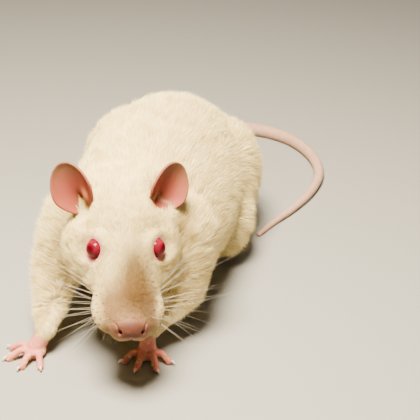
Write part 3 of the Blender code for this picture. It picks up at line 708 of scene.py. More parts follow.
def coat_lie(points):
    """The way that the coat lies at each point: back from the nose, along the body and down the legs."""
    at = in_frame(HEAD, points)
    height = points[:, 2]
    parting = np.array((40.0, 0.0, -5.0))
    head = unit(at - parting) @ np.array(HEAD.to_3x3()).T
    body = np.zeros_like(points)
    body[:, 1] = 1.0
    body[:, 2] = -0.12 - 0.5 * step_up(52.0, 22.0, height) * step_up(150.0, 120.0, points[:, 1])
    of_head = step_up(-44.0, -20.0, at[:, 0]) * step_up(8.0, 22.0, height)
    lie = towards(body, head, of_head[:, None])
    for side, mirror in BOTH_SIDES:
        near, way = distance_to_arm(points, side)
        on_arm = step_up(18.0, 10.0, near) * step_up(36.0, 24.0, height) * (1 - of_head)
        lie = towards(lie, way + np.array((0, 0.35, 0)), on_arm[:, None])
        haunch = np.array((HAUNCH_MIDDLE[0] * mirror, *HAUNCH_MIDDLE[1:]))
        off = size_of((points - haunch) / np.array((18.0, 34.0, 26.0)))
        on_haunch = step_up(1.3, 0.8, off) * step_up(46.0, 30.0, height)
        lie = towards(lie, np.array((0.0, 0.85, -0.75)), on_haunch[:, None])
    for _, mirror in BOTH_SIDES:
        eye = in_frame(EYES[mirror], points)
        parted = step_up(6.8, 3.6, np.hypot(eye[:, 0], eye[:, 1])) * (np.abs(eye[:, 2]) < 5.0)
        eye[:, 2] = 0.0
        lie = unit(lie) + 1.7 * unit(eye @ np.array(EYES[mirror].to_3x3()).T) * parted[:, None]
    return unit(lie)


# The skin


def flesh():
    """The body without its feet, ears and tail, with a finer mesh on face, eyes and nose."""
    pieces = [trunk()] + head_flesh() + [ball(*mass) for mass in NECK_MASSES]
    for side, mirror in BOTH_SIDES:
        pieces += foreleg(side) + hind_leg(side, mirror)
    made = melt("skin", pieces, SKIN_VOXEL, SKIN_SMOOTHING)
    points = corners(made) / MM
    forward = in_frame(HEAD, points)[:, 0]
    plain = 1 - step_up(FACE_BACK - 12.0, FACE_BACK, forward) * step_up(14.0, 18.0, points[:, 2])
    group = made.vertex_groups.new(name="plain")
    for i, value in enumerate(plain):
        group.add([i], float(value), "REPLACE")
    thin = made.modifiers.new("thin out", "DECIMATE")
    thin.ratio, thin.vertex_group = BODY_SHARE_KEPT, group.name
    applied(made)

    def beyond(middles, back):
        return in_frame(HEAD, middles)[:, 0] > back

    def is_face(middles):
        return beyond(middles, FACE_BACK) & (middles[:, 2] > CHIN_LEVEL)

    def is_fine(middles):
        near = beyond(middles, NOSE_BACK)
        for eye in EYES.values():
            near |= size_of(in_frame(eye, middles)) < EYE_REACH
        return near & (middles[:, 2] > CHIN_LEVEL)

    refine(made, is_face)
    refine(made, is_fine)
    refine(made, lambda middles: is_fine(middles) & beyond(middles, NOSE_TIP_BACK))
    soften(made, is_face(corners(made) / MM), 6)
    return made


def push_in(obj, depth):
    """Moves each point of the skin inwards by its depth in millimetres."""
    set_corners(obj, (corners(obj) / MM - normals(obj) * depth[:, None]) * MM)


def press(obj, line, width, depth):
    """Presses a groove or pit of this half width into the surface along a line."""
    near, _ = distance_to_line(corners(obj) / MM, line)
    push_in(obj, depth * bell(near, 0.0, width))


def inner_corner(mirror):
    """Which way round the eye its inner corner lies, towards the nose and down."""
    inner = in_frame(EYES[mirror], np.array([HEAD @ on_side(INNER_CORNER, mirror)]))[0]
    return math.atan2(inner[1], inner[0])


def past_lids(at, mirror):
    """How far outside the lids' opening each point of an eye's frame lies, and its turn from the corner."""
    turn = np.arctan2(at[:, 1], at[:, 0]) - inner_corner(mirror)
    turn = np.abs((turn + math.pi) % (2 * math.pi) - math.pi)
    opening = LID_OPENING - 0.05 + CORNER_DRAWN * bell(turn, 0.0, CORNER_WIDTH)
    opening += OUTER_CORNER_DRAWN * bell(turn, math.pi, CORNER_WIDTH)
    return np.hypot(at[:, 0], at[:, 1]) - opening, turn


def shape_lids(obj, mirror):
    """Draws the skin over the eyeball, with a rounded rim and a corner towards the nose."""
    points = corners(obj) / MM
    at = in_frame(EYES[mirror], points)
    near = (size_of(at) < 8.5) & (at[:, 2] > -1.2)
    r = np.hypot(at[:, 0], at[:, 1])
    past, turn = past_lids(at, mirror)
    on_ball = np.sqrt(np.clip(EYE_RADIUS**2 - np.minimum(r, EYE_RADIUS) ** 2, 0.0, None))
    foot_level = LID_FOOT - LID_TILT * np.cos(turn)
    rim = foot_level + LID_RIM * np.sqrt(np.clip(1 - ((past - RIM_WIDTH) / RIM_WIDTH) ** 2, 0, 1))
    hidden = np.where(r < LID_OPENING - 0.15, on_ball - 0.5, foot_level + 0.25 * step_up(3.1, 3.4, r))
    level = np.where(past < 0.0, np.minimum(hidden, on_ball - 0.25 + 1.2 * step_up(2.9, 3.4, r)), rim)
    level = np.where(past > RIM_WIDTH, foot_level + LID_RIM - 0.1 * (past - RIM_WIDTH), level)
    at[:, 2] = towards(at[:, 2], level, np.where(past < RIM_WIDTH, 1.0, step_up(3.4, 0.9, past)))
    turned = at @ np.array(EYES[mirror].to_3x3()).T + np.array(EYES[mirror].translation)
    points[near] = turned[near]
    set_corners(obj, points * MM)


def mouth_points(obj):
    """The line of the mouth on the surface, from one corner round under the snout to the other."""
    surface = BVHTree.FromObject(obj, bpy.context.evaluated_depsgraph_get())
    points = []
    for k in range(MOUTH_POINTS):
        a = math.pi * (k / (MOUTH_POINTS - 1) - 0.5)
        forward = MOUTH_BACK + (MOUTH_FRONT - MOUTH_BACK) * math.cos(a)
        nominal = HEAD @ Vector((forward, MOUTH_REACH * math.sin(a), MOUTH_LEVEL))
        points.append(surface.find_nearest(nominal * MM)[0] / MM)
    return points


def shape_face(obj):
    """Gives the melted head its lids, the bowls before its ears, its crease, mouth, cleft and nostrils."""
    for _, mirror in BOTH_SIDES:
        shape_lids(obj, mirror)
        bowl = [EARS[mirror] @ Vector(place) for place in ((0.0, -1.6, -1.0), (0.0, -1.2, 5.0))]
        press(obj, bowl, *EAR_BOWL_PIT)
    press(obj, on_head(NAPE_CREASE), *NAPE_CREASE_GROOVE)
    press(obj, mouth_points(obj), *MOUTH_GROOVE)
    press(obj, on_head(CLEFT), *CLEFT_GROOVE)
    for _, mirror in BOTH_SIDES:
        outer, inner, comma = on_head([on_side(place, mirror) for place in (*NOSTRIL, NOSTRIL_COMMA)])
        press(obj, (comma, outer), *COMMA_GROOVE)
        press(obj, (outer, outer.lerp(inner, 0.25)), *NOSTRIL_PIT)


def ear_place(x, y):
    """A point of the unit disc, taken to the ear's cupped blade: across it, out of its face, up it."""
    height = (y + 1) / 2
    reach = math.hypot(x, y)
    width = EAR_ROOT_SHARE + (1 - EAR_ROOT_SHARE) * min(1.0, height / 0.45) ** 0.8
    cup = EAR_CUP * (1 - x * x) * (1.15 - 0.75 * height)
    curl = EAR_CURL * max(-x, 0) ** 3 * (1 - height)
    rim = 0.45 * max(reach - 0.82, 0.0) / 0.18
    pit = 1.6 * math.exp(-((x - 0.04) / 0.2) ** 2 - ((y + 0.46) / 0.26) ** 2)
    fold = 1.9 * math.exp(-((x - 0.42) / 0.15) ** 2 - ((y + 0.4) / 0.28) ** 2)
    ripple = 0.1 * math.sin(7.0 * x + 2.0) * (1 - reach) * height
    return EAR_WIDTH / 2 * x * width, curl - cup + rim - pit + fold + ripple, EAR_HEIGHT * height - EAR_SUNK


def ear(mirror):
    """A thin cupped blade with a rolled rim, rounded above and narrow at the root."""
    shape = bmesh.new()
    around, rings = 56, 18
    turns = [2 * math.pi * k / around for k in range(around)]
    rows = [[shape.verts.new((0, 0, 0))]]
    for i in range(1, rings + 1):
        reach = math.sin(0.5 * math.pi * i / rings)
        rows.append([shape.verts.new((reach * math.cos(a), reach * math.sin(a), 0)) for a in turns])
    for k in range(around):
        j = (k + 1) % around
        shape.faces.new((rows[0][0], rows[1][k], rows[1][j]))
        for low, high in zip(rows[1:], rows[2:]):
            shape.faces.new((low[k], high[k], high[j], low[j]))
    for vert in shape.verts:
        vert.co = ear_place(vert.co.x, vert.co.y)
    made = from_bmesh("ear", shape)
    blade = made.modifiers.new("blade", "SOLIDIFY")
    blade.thickness, blade.offset = EAR_WALL * MM, 0.0
    applied(made)
    made.data.transform(in_metres(EARS[mirror]))
    if mirror < 0:
        made.data.flip_normals()
    soften(made, np.ones(len(made.data.vertices)), 1)
    return made


def stance(side, hind):
    """Where a foot stands, how it is turned, and the ways ahead and to the left of it."""
    place, turn = (HEEL if hind else FOREFOOT)[side]
    heading = Matrix.Rotation(math.radians(turn), 3, "Z")
    return place, heading, heading @ Vector((0, -1, 0)), heading @ Vector((1, 0, 0))


def toe_line(root, way, length):
    """One toe's path, over its knuckle and down onto its pad, and the path of its claw."""
    way = Vector((way.x, way.y, 0)).normalized()
    tip, knuckle = root + way * length, root + way * length * 0.72
    tip.z, knuckle.z = DIGIT_RADIUS * 0.86, DIGIT_RADIUS * 0.86 + KNUCKLE_RISE
    line = (root, raised(root + way * length * 0.38, KNUCKLE_RISE), knuckle, tip)
    start = raised(tip + way * DIGIT_RADIUS * 0.3, 0.3)
    middle, end = start + way * CLAW_LENGTH * 0.75, start + way * (CLAW_LENGTH + 0.25)
    return line, (start, raised(middle, 0.15), raised(end, -0.5))


def toes(side, hind):
    """The paths of the toes and claws of one foot."""
    place, _, ahead, left = stance(side, hind)
    start, height, bow = HIND_DIGITS_START if hind else FORE_DIGITS_START
    paths = []
    for angle, length, out in HIND_DIGITS if hind else FORE_DIGITS:
        steps = (ahead * (start - bow * out * out), left * out)
        root = place + steps[0] + steps[1] if hind else place + steps[1] + steps[0]
        way = Matrix.Rotation(math.radians(angle), 3, "Z") @ ahead
        paths.append(toe_line(raised(root, height), way, length))
    return paths


def foot(side, hind):
    """The sole or palm with its toes, their knuckles and pads, melted into one and flat underneath."""
    place, heading, ahead, _ = stance(side, hind)
    if hind:
        sole = smooth_line([raised(place + ahead * forward, height) for forward, height in SOLE], 4)
        pieces = [tube("sole", sole, SOLE_RADII, 20, SOLE_FLATNESS)]
        ankle = [raised(place + ahead * 3.0, height) for height in (3.0, ANKLE_HEIGHT + 2.0)]
        pieces.append(tube("ankle", ankle, ANKLE_RADII, 16, round_off=()))
    else:
        pieces = [ball("palm", raised(place, PALM_HEIGHT), PALM, heading)]
        wrist = smooth_line((raised(place, 3.0), WRIST[side], WRIST[side].lerp(ELBOW[side], 0.25)), 4)
        pieces.append(tube("wrist", wrist, WRIST_RADII, 16, round_off=()))
    thick = [DIGIT_RADIUS * share for share in DIGIT_TAPER]
    for line, _ in toes(side, hind):
        pieces.append(tube("toe", smooth_line(line, 4), thick, 14, round_off=(0.45, 0.9, 1.3)))
        pieces.append(ball("pad", line[3] - Vector((0, 0, 0.25)), (DIGIT_RADIUS * 1.1,) * 3, segments=14))
        pieces.append(ball("knuckle", line[2], (DIGIT_RADIUS * 1.06,) * 3, segments=14))
    made = melt("foot", pieces, FOOT_VOXEL, FOOT_SMOOTHING)
    lift_to(made, 0.0)
    return made


def lift_to(obj, level):
    """Brings the points that lie lower than this up to it."""
    points = corners(obj)
    points[:, 2] = np.maximum(points[:, 2], level * MM)
    set_corners(obj, points)


def tail():
    """The tail with a small step at the edge of each ring of scales."""
    line = smooth_line(TAIL_LINE, 4)
    radii = []
    for i in range(len(line)):
        t = i / (len(line) - 1)
        swell = TAIL_ROOT_SWELL * math.exp(-t / TAIL_SWELL_REACH)
        radii.append(TAIL_TIP_RADIUS + (TAIL_RADIUS - TAIL_TIP_RADIUS) * (1 - t) ** 0.85 + swell)
    for place, radius in zip(line[TAIL_ON_FLOOR:], radii[TAIL_ON_FLOOR:]):
        place.z = radius - TAIL_SINK
    fine = np.array([tuple(v) for v in smooth_line(line, 8)])
    run = np.concatenate([[0.0], np.cumsum(size_of(np.diff(fine, axis=0)))])
    even = np.linspace(0.0, run[-1], int(run[-1] / SCALE_RING) * len(SCALE_STEPS) + 1)
    places = [Vector([float(np.interp(s, run, fine[:, axis])) for axis in range(3)]) for s in even]
    thick = [radius * SCALE_STEPS[i % len(SCALE_STEPS)] for i, radius in enumerate(along(radii, len(even)))]
    rings = rings_along(places, thick, 22)
    tip = places[-1] + (places[-1] - places[-2]).normalized() * thick[-1]
    rings = [[Vector((p.x, p.y, max(p.z, 0.0))) for p in ring] for ring in rings]
    rings.append([tip.lerp(p, 0.55) for p in rings[-1]])
    return loft("tail", rings)


def join_skin():
    """One closed skin of body, feet, ears and tail; each face keeps the number of its part."""
    body = flesh()
    push_in(body, COAT_SHARE_OF_HAIR * hair_length(corners(body) / MM))
    shape_face(body)
    others = []
    for side, mirror in BOTH_SIDES:
        others += [(foot(side, False), 1), (foot(side, True), 1), (ear(mirror), 2)]
    others.append((tail(), 3))
    for name in PARTS:
        finish = bpy.data.materials.new(name)
        for obj in [body] + [obj for obj, _ in others]:
            obj.data.materials.append(finish)
    group = bpy.data.collections.new("limbs")
    for obj, part in others:
        obj.data.polygons.foreach_set("material_index", [part] * len(obj.data.polygons))
        group.objects.link(obj)
    join = body.modifiers.new("join", "BOOLEAN")
    join.operation, join.solver, join.material_mode = "UNION", "MANIFOLD", "INDEX"
    join.operand_type, join.collection = "COLLECTION", group
    applied(body)
    for obj, _ in others:
        remove(obj)
    bpy.data.collections.remove(group)
    return body


def parts_of_points(obj):
    """For each point of the skin, whether it lies on each part, from 0 to 1 across the seams."""
    mesh = obj.data
    loops = read(mesh.loops, "vertex_index", kind=np.int64)
    totals = read(mesh.polygons, "loop_total", kind=np.int64)
    part = np.repeat(read(mesh.polygons, "material_index", kind=np.int32), totals)
    count = np.bincount(loops, minlength=len(mesh.vertices)).clip(1)
    return [np.bincount(loops, part == k, len(mesh.vertices)) / count for k in range(len(PARTS))]


def mark_eyes(points):
    """How far each point is a lid, and how far a lid or the pink corner of an eye."""
    lids, pink_corner = np.zeros((2, len(points)))
    for _, mirror in BOTH_SIDES:
        near = in_frame(EYES[mirror], points)
        past, _ = past_lids(near, mirror)
        below = np.clip((EYES[mirror].translation.z - points[:, 2]) / EYE_RADIUS, 0, 1)
        lid = step_up(1.15, 0.6, past - 0.8 * below) * (near[:, 2] > -0.5) * (past < 3.0)
        lids = np.maximum(lids, lid)
        turn = inner_corner(mirror)
        inner = np.array((3.6 * math.cos(turn), 3.6 * math.sin(turn), 2.0))
        pink_corner = np.maximum(pink_corner, step_up(1.9, 0.6, size_of(near - inner)))
    return lids, np.maximum(lids, pink_corner)


def mark_ears(points, on_body, on_ears):
    """How far each point lies in an ear or its bowl, its opening painted dark as shade, the flap beside
    that, and how deep in it.
    """
    in_ear, slit, flap, deep = np.zeros((4, len(points)))
    for _, mirror in BOTH_SIDES:
        place = in_frame(EARS[mirror], points)
        across, out, up = place.T
        inside = on_ears * step_up(-7.0, -5.0, out)
        for mark, (middle, width, level, height) in ((slit, EAR_OPENING_SHADE), (flap, EAR_FLAP)):
            np.maximum(mark, inside * bell(across, middle, width) * bell(up, level, height), out=mark)
        bowl = (place - np.array((0.0, -1.8, 3.0))) / np.array((1.15, 1.0, 1.0))
        in_ear = np.maximum(in_ear, step_up(5.2, 3.8, size_of(bowl)) * (bowl[:, 1] > -4.0))
        root = np.array(EARS[mirror] @ Vector((0.0, -1.0, 3.0)))
        deep = np.maximum(deep, step_up(15.0, 5.0, size_of(points - root)))
    return np.maximum(on_ears, in_ear * on_body), slit, flap, deep


def mark_skin(obj):
    """Notes on each point of the skin what its finish and its coat need to know."""
    points, out = corners(obj) / MM, normals(obj)
    on_body, on_feet, on_ears, on_tail = parts_of_points(obj)
    forward, aside, up = in_frame(HEAD, points).T
    nose = step_up(23.2, 27.8, forward) * step_up(-9.4, -6.8, up)
    muzzle = step_up(10.0, 21.0, forward) * step_up(12.0, 16.0, points[:, 2])
    muzzle *= step_up(10.0, 6.5, np.abs(aside)) * step_up(-12.0, -9.0, up)
    middle, across, half_length, half_width = SMUDGE
    smudge = bell(forward, middle, half_length) * bell(aside + 0.05 * forward, across, half_width)
    smudge *= step_up(-6.0, -1.0, up + 0.35 * forward - 2.0) * step_up(27.5, 23.0, forward)
    lids, pink = mark_eyes(points)
    in_ear, slit, flap, deep = mark_ears(points, on_body, on_ears)
    ear_spread = spread(obj, in_ear, 2)
    bare = spread(obj, np.maximum(np.maximum(on_feet, in_ear), on_tail), 3)
    length = hair_length(points)
    for on_part, hair in ((on_tail, HAIR_TAIL), (on_ears, HAIR_EAR), (on_feet, HAIR_FOOT)):
        length = np.where(on_part > 0.5, hair, length)
    thick = (1.0 - step_up(0.3, 0.8, nose)) * (1 - step_up(0.15, 0.5, in_ear)) * (1 - lids)
    thick *= (HAIR_BODY / length) ** CLOSER_WHERE_SHORT
    for on_part, share in ((on_feet, THIN_ON_FEET), (on_ears, 0.0), (on_tail, 0.0)):
        thick *= np.where(on_part > 0.5, share, 1.0)
    lie = coat_lie(points)
    lie = unit(lie - out * (lie * out).sum(axis=1)[:, None])
    marks = {
        "bare": np.maximum(bare, np.maximum(nose, lids)), "foot": on_feet, "tail": on_tail,
        "ear": ear_spread, "slit": slit, "flap": flap, "deep": deep * ear_spread,
        "nose": nose, "muzzle": muzzle, "smudge": smudge, "lid": pink,
        "hair": length * MM, "thick": thick, "lie": lie, "up": out,
    }
    for name, values in marks.items():
        store(obj, name, values)


def unwrap(obj, name):
    """Unwraps the mesh by its own shape."""
    obj.data.uv_layers.new(name=name)
    bpy.ops.object.select_all(action="DESELECT")
    bpy.context.view_layer.objects.active = obj
    obj.select_set(True)
    bpy.ops.object.mode_set(mode="EDIT")
    bpy.ops.mesh.select_all(action="SELECT")
    bpy.ops.uv.smart_project(angle_limit=math.radians(66), island_margin=0.002)
    bpy.ops.object.mode_set(mode="OBJECT")


# Finishes


def linear(code):
    """An sRGB hex colour as linear red, green and blue."""
    parts = [int(code[i : i + 2], 16) / 255 for i in (1, 3, 5)]
    return (*(c / 12.92 if c <= 0.04045 else ((c + 0.055) / 1.055) ** 2.4 for c in parts), 1.0)


def plug(tree, made, sockets):
    """Gives each of these sockets of a node a fixed value, or a link where the value is a socket itself."""
    for key, value in dict(sockets).items():
        if isinstance(value, bpy.types.NodeSocket):
            tree.links.new(value, made.inputs[key])
        else:
            made.inputs[key].default_value = value
    return made


def node(tree, kind, sockets=(), **settings):
    """Adds a node with its settings, its fixed inputs and the links into it."""
    made = tree.nodes.new(kind)
    for name, value in settings.items():
        setattr(made, name, value)
    return plug(tree, made, sockets)


def material(name):
    made = bpy.data.materials.new(name)
    made.use_nodes = True
    return made, made.node_tree


def dressed(made, sockets):
    """The material with these values and links on its shader."""
    plug(made.node_tree, made.node_tree.nodes["Principled BSDF"], sockets)
    return made


def value_of(tree, name):
    return node(tree, "ShaderNodeAttribute", attribute_name=name).outputs["Fac"]


def place_of(tree):
    return node(tree, "ShaderNodeTexCoord").outputs["Object"]


def noise(tree, place, scale, detail):
    """Soft blotches, this many to the metre, so that they keep their real size."""
    sockets = {"Vector": place, "Scale": scale, "Detail": detail}
    return node(tree, "ShaderNodeTexNoise", sockets).outputs["Fac"]


def blend(tree, share, first, second):
    """Mixes two colours, each a hex code or a socket, by a share that is a number or a socket."""
    first, second = (linear(c) if isinstance(c, str) else c for c in (first, second))
    return node(tree, "ShaderNodeMix", {0: share, 6: first, 7: second}, data_type="RGBA").outputs[2]


def tinted(tree, colour, *tints):
    """Lays tints over a colour: each covers up to a share of it as a value runs from its low to its high."""
    for value, low, high, cover, tint in tints:
        value = value_of(tree, value) if isinstance(value, str) else value
        share = node(tree, "ShaderNodeMapRange", {0: value, 1: low, 2: high, 4: cover}).outputs[0]
        colour = blend(tree, share, colour, tint)
    return colour


def skin_finish():
    """Living skin: thin and pink where it is bare, and hidden under cream fur elsewhere.

    Light goes a little way into it, so the ears and toes glow; it has fine wrinkles and a soft oily gloss.
    """
    made, tree = material("living_skin")
    place = place_of(tree)
    mottle = noise(tree, place, 420.0, 4.0)
    ear_skin = tinted(
        tree,
        blend(tree, noise(tree, place, 120.0, 3.0), "#6E4630", "#80603F"),
        ("deep", 0.0, 1.0, 0.8, "#903E32"),
        ("flap", 0.1, 0.9, 0.85, "#A0683F"),
        # Painted shade: the ear's opening is painted dark for the shade inside the canal.
        ("slit", 0.15, 0.9, 0.85, "#6E2A22"),
    )
    bare_skin = tinted(
        tree,
        blend(tree, mottle, "#8E5644", "#A06A52"),
        ("ear", 0.0, 0.4, 1.0, ear_skin),
        ("foot", 0.0, 1.0, 1.0, blend(tree, mottle, "#C0665A", "#D28A78")),
        ("tail", 0.0, 1.0, 1.0, blend(tree, mottle, "#A07C66", "#C4A08A")),
        ("nose", 0.0, 1.0, 1.0, blend(tree, mottle, "#482418", "#5A3222")),
    )
    colour = tinted(
        tree,
        blend(tree, mottle, "#B39C6C", "#CDB786"),
        ("muzzle", 0.0, 1.0, 0.8, "#7A4C30"),
        ("smudge", 0.1, 0.8, 0.94, "#3E2A14"),
        ("bare", 0.0, 1.0, 1.0, bare_skin),
        ("lid", 0.0, 1.0, 1.0, "#CC7C80"),
    )
    sockets = {"Scale": 1400.0, "Vector": place}
    wrinkle = node(tree, "ShaderNodeTexVoronoi", sockets, feature="DISTANCE_TO_EDGE").outputs["Distance"]
    height = node(tree, "ShaderNodeMapRange", {0: wrinkle, 2: 0.12}).outputs[0]
    bump = node(tree, "ShaderNodeBump", {"Strength": 0.25, "Distance": 0.00012, "Height": height})
    looks = {
        "Base Color": colour, "Normal": bump.outputs["Normal"], "Roughness": 0.58, "IOR": 1.4,
        "Specular IOR Level": 0.35, "Subsurface Weight": 0.35, "Subsurface Radius": (1.0, 0.35, 0.2),
        "Subsurface Scale": 0.0016,
    }
    return dressed(made, looks)


def fur_finish():
    """White rat hair: fine, clear and hollow, so it scatters light and looks cream; its darkening towards
    the root is painted shade between the hairs.
    """
    made, tree = material("white_fur")
    tone = value_of(tree, "tone")
    sockets = {0: tone, 1: 0.1, 2: value_of(tree, "smudge")}
    streaky = node(tree, "ShaderNodeMath", sockets, operation="MULTIPLY_ADD").outputs[0]
    colour = tinted(
        tree,
        blend(tree, tone, "#C6A65A", "#FFEFB2"),
        # Painted shade: each hair darkens towards its root, standing in for the shade down between the
        # hairs.
        ("along", 0.6, 0.0, 0.7, "#A08654"),
        ("muzzle", 0.1, 0.9, 0.76, "#7E4E38"),
        (streaky, 0.12, 0.85, 0.9, "#664822"),
    )
    return dressed(made, {"Base Color": colour, "Roughness": 0.78, "IOR": 1.5, "Specular IOR Level": 0.12})


def follicle_finish():
    """The dark rim of the pit that a whisker grows from."""
    made, _ = material("whisker_pit")
    return dressed(made, {"Base Color": linear("#5E4634"), "Roughness": 0.6})


def whisker_finish():
    """A whisker: a stiff clear hair, browner at its root."""
    made, tree = material("whisker")
    colour = tinted(tree, "#A8906E", ("along", 0.02, 0.08, 1.0, "#CABFAE"))
    return dressed(made, {"Base Color": colour, "Roughness": 0.35})


def eye_finish():
    """The eye of an albino: clear wet cornea over an iris without pigment, ruby from the blood behind it."""
    made, tree = material("ruby_eye")
    colour = tinted(
        tree,
        blend(tree, noise(tree, place_of(tree), 900.0, 3.0), "#5A0C1A", "#741626"),
        ("front", 0.80, 0.97, 1.0, "#44020D"),
        ("front", 0.6, 0.3, 1.0, "#520414"),
    )
    looks = {
        "Base Color": colour, "Roughness": 0.12, "IOR": 1.38, "Specular IOR Level": 0.0,
        "Coat Weight": 0.7, "Coat IOR": 1.26, "Coat Roughness": 0.02,
        "Subsurface Weight": 0.3, "Subsurface Radius": (1.0, 0.1, 0.1), "Subsurface Scale": 0.002,
    }
    return dressed(made, looks)


def claw_finish():
    """Claw horn: clear and pale, pink where the quick shows through."""
    made, tree = material("claw_horn")
    tip = blend(tree, noise(tree, place_of(tree), 1500.0, 2.0), "#EAD9C4", "#F6EADB")
    colour = tinted(tree, "#DDA096", ("along", 0.2, 0.8, 1.0, tip))
    return dressed(made, {"Base Color": colour, "Roughness": 0.3, "IOR": 1.54})


# Coat


def tuft_shape(name, seed, collection):
    """A tuft of fine flat hairs of length 1 that lie along +Y and bend down towards their tips."""
    pick = np.random.default_rng(seed)
    shape = bmesh.new()
    for _ in range(HAIRS_IN_TUFT):
        x, y = pick.uniform(-0.13, 0.13), pick.uniform(-0.16, 0.16)
        drift = pick.uniform(-0.14, 0.14) + 0.25 * x
        length, lift, roll = pick.uniform(0.75, 1.05), pick.uniform(0.12, 0.26), pick.uniform(-0.5, 0.5)
        side = Vector((math.cos(roll), 0.0, math.sin(roll))) * HALF_HAIR_WIDTH
        root, knee = Vector((x, y, -0.03)), Vector((x + 0.45 * drift, y + 0.45 * length, 0.72 * lift))
        tip = Vector((x + drift, y + length, lift))
        row = [shape.verts.new(p) for p in (root - side, root + side, knee + side, knee - side, tip)]
        shape.faces.new(row[:4])
        shape.faces.new((row[3], row[2], row[4]))
    made = from_bmesh(name, shape, 1.0, collection)
    store(made, "along", np.tile((0.0, 0.0, 0.5, 0.5, 1.0), HAIRS_IN_TUFT))
    patch = made.data.uv_layers.new(name="patch")
    for loop in made.data.loops:
        place = made.data.vertices[loop.vertex_index].co
        patch.data[loop.index].uv = (0.5 + place.x, 0.08 + 0.8 * min(max(place.y, 0.0), 1.05))


def coat_tree(shapes):
    """Sets tufts on a skin: more where its thick value is high, turned to its lie, sized by its hair."""
    tree = bpy.data.node_groups.new("coat_of_tufts", "GeometryNodeTree")
    sockets = {"Skin": "Geometry", "Tufts per square metre": "Float", "Seed": "Int", "Fur": "Material"}
    for name, kind in sockets.items():
        tree.interface.new_socket(name, in_out="INPUT", socket_type="NodeSocket" + kind)
    tree.interface.new_socket("Coat", in_out="OUTPUT", socket_type="NodeSocketGeometry")
    start = node(tree, "NodeGroupInput").outputs

    def add(kind, sockets=(), **settings):
        return node(tree, kind, sockets, **settings).outputs[0]

    def named(name, kind="FLOAT"):
        return add("GeometryNodeInputNamedAttribute", {"Name": name}, data_type=kind)

    def stored(geometry, name, value, kind, domain):
        sockets = {"Geometry": geometry, "Name": name, "Value": value}
        return add("GeometryNodeStoreNamedAttribute", sockets, data_type=kind, domain=domain)

    def maths(operation, first, second=0.0):
        return add("ShaderNodeMath", {0: first, 1: second}, operation=operation)

    def chance(low, high, salt, kind="FLOAT"):
        """A random number for each tuft; the salt keeps it apart from the others."""
        first = {"FLOAT": 2, "INT": 4}[kind]
        sockets = {first: low, first + 1: high, "Seed": maths("ADD", start["Seed"], float(salt))}
        return node(tree, "FunctionNodeRandomValue", sockets, data_type=kind).outputs[first // 2]

    density = maths("MULTIPLY", start["Tufts per square metre"], named("thick"))
    sockets = {"Mesh": start["Skin"], "Density": density, "Seed": start["Seed"]}
    points = add("GeometryNodeDistributePointsOnFaces", sockets)
    sockets = {"Primary Axis": named("up", "FLOAT_VECTOR"), "Secondary Axis": named("lie", "FLOAT_VECTOR")}
    turn = add("FunctionNodeAxesToRotation", sockets, primary_axis="Z", secondary_axis="Y")
    place = add("GeometryNodeInputPosition")
    locks, sway = noise(tree, place, 330.0, 1.0), noise(tree, place, 210.0, 1.0)
    lift = maths("ADD", chance(-0.30, 0.02, 3), maths("MULTIPLY", locks, 0.35))
    veer = maths("ADD", chance(-0.72, -0.28, 4), sway)
    swing = {"Rotation": turn, "Rotate By": add("ShaderNodeCombineXYZ", {0: lift, 2: veer})}
    hair = named("hair")
    length = maths("MULTIPLY", hair, chance(0.78, 1.15, 5))
    breadth = maths("SQRT", maths("MULTIPLY", hair, TUFT_BREADTH))
    tone = maths("ADD", chance(-0.32, 0.38, 6), locks)
    choices = {"Collection": shapes, "Separate Children": True, "Reset Children": True}
    sockets = {
        "Points": stored(points, "tone", tone, "FLOAT", "POINT"),
        "Instance": add("GeometryNodeCollectionInfo", choices),
        "Pick Instance": True,
        "Instance Index": chance(0, TUFT_SHAPES - 1, 7, "INT"),
        "Rotation": add("FunctionNodeRotateRotation", swing, rotation_space="LOCAL"),
        "Scale": add("ShaderNodeCombineXYZ", {0: breadth, 1: length, 2: length}),
    }
    coat = add("GeometryNodeRealizeInstances", {"Geometry": add("GeometryNodeInstanceOnPoints", sockets)})
    sockets = {0: named("patch", "FLOAT_VECTOR"), 1: (0.5, 0.5, 0.0)}
    centred = add("ShaderNodeVectorMath", sockets, operation="SUBTRACT")
    shrunk = add("ShaderNodeVectorMath", {0: centred, "Scale": TUFT_PATCH}, operation="SCALE")
    rooted = add("ShaderNodeVectorMath", {0: shrunk, 1: named("unwrap", "FLOAT_VECTOR")}, operation="ADD")
    coat = stored(coat, "OFBake", rooted, "FLOAT2", "CORNER")
    for name in NOT_KEPT_ON_COAT:
        coat = add("GeometryNodeRemoveAttribute", {"Name": name, "Geometry": coat})
    furred = add("GeometryNodeSetMaterial", {"Geometry": coat, "Material": start["Fur"]})
    node(tree, "NodeGroupOutput", {"Coat": furred})
    return tree


def grow_coat(skin, name, chosen, tree, inputs):
    """One piece of the coat, on the chosen faces of the skin; every piece has the same density of tufts."""

    def keep_chosen(shape):
        others = [shape.faces[i] for i in np.nonzero(~chosen)[0]]
        bmesh.ops.delete(shape, geom=others, context="FACES")

    bed = mesh_object(name, skin.data.copy())
    reshape(bed, keep_chosen)
    growth = bed.modifiers.new("coat", "NODES")
    growth.node_group = tree
    for item in tree.interface.items_tree:
        if item.name in inputs:
            growth[item.identifier] = inputs[item.name]
    coat = applied(bed)
    lift_to(coat, LOWEST_HAIR)
    return coat


# Eyes, claws and whiskers


def finished(obj, finish):
    """The object, smooth and in this one finish."""
    obj.data.materials.clear()
    obj.data.materials.append(finish)
    obj.data.shade_smooth()
    return obj


def eyeball(name, mirror, finish):
    """A smooth ball with a slightly fuller cornea."""
    made = ball(name, (0, 0, 0), [EYE_RADIUS] * 3, segments=64)
    points = corners(made) / MM
    front = points[:, 2] / EYE_RADIUS
    points[:, 2] += CORNEA_BULGE * np.clip(front, 0, 1) ** 3
    set_corners(made, points * MM)
    made.data.transform(in_metres(EYES[mirror]))
    store(made, "front", front)
    return finished(made, finish)


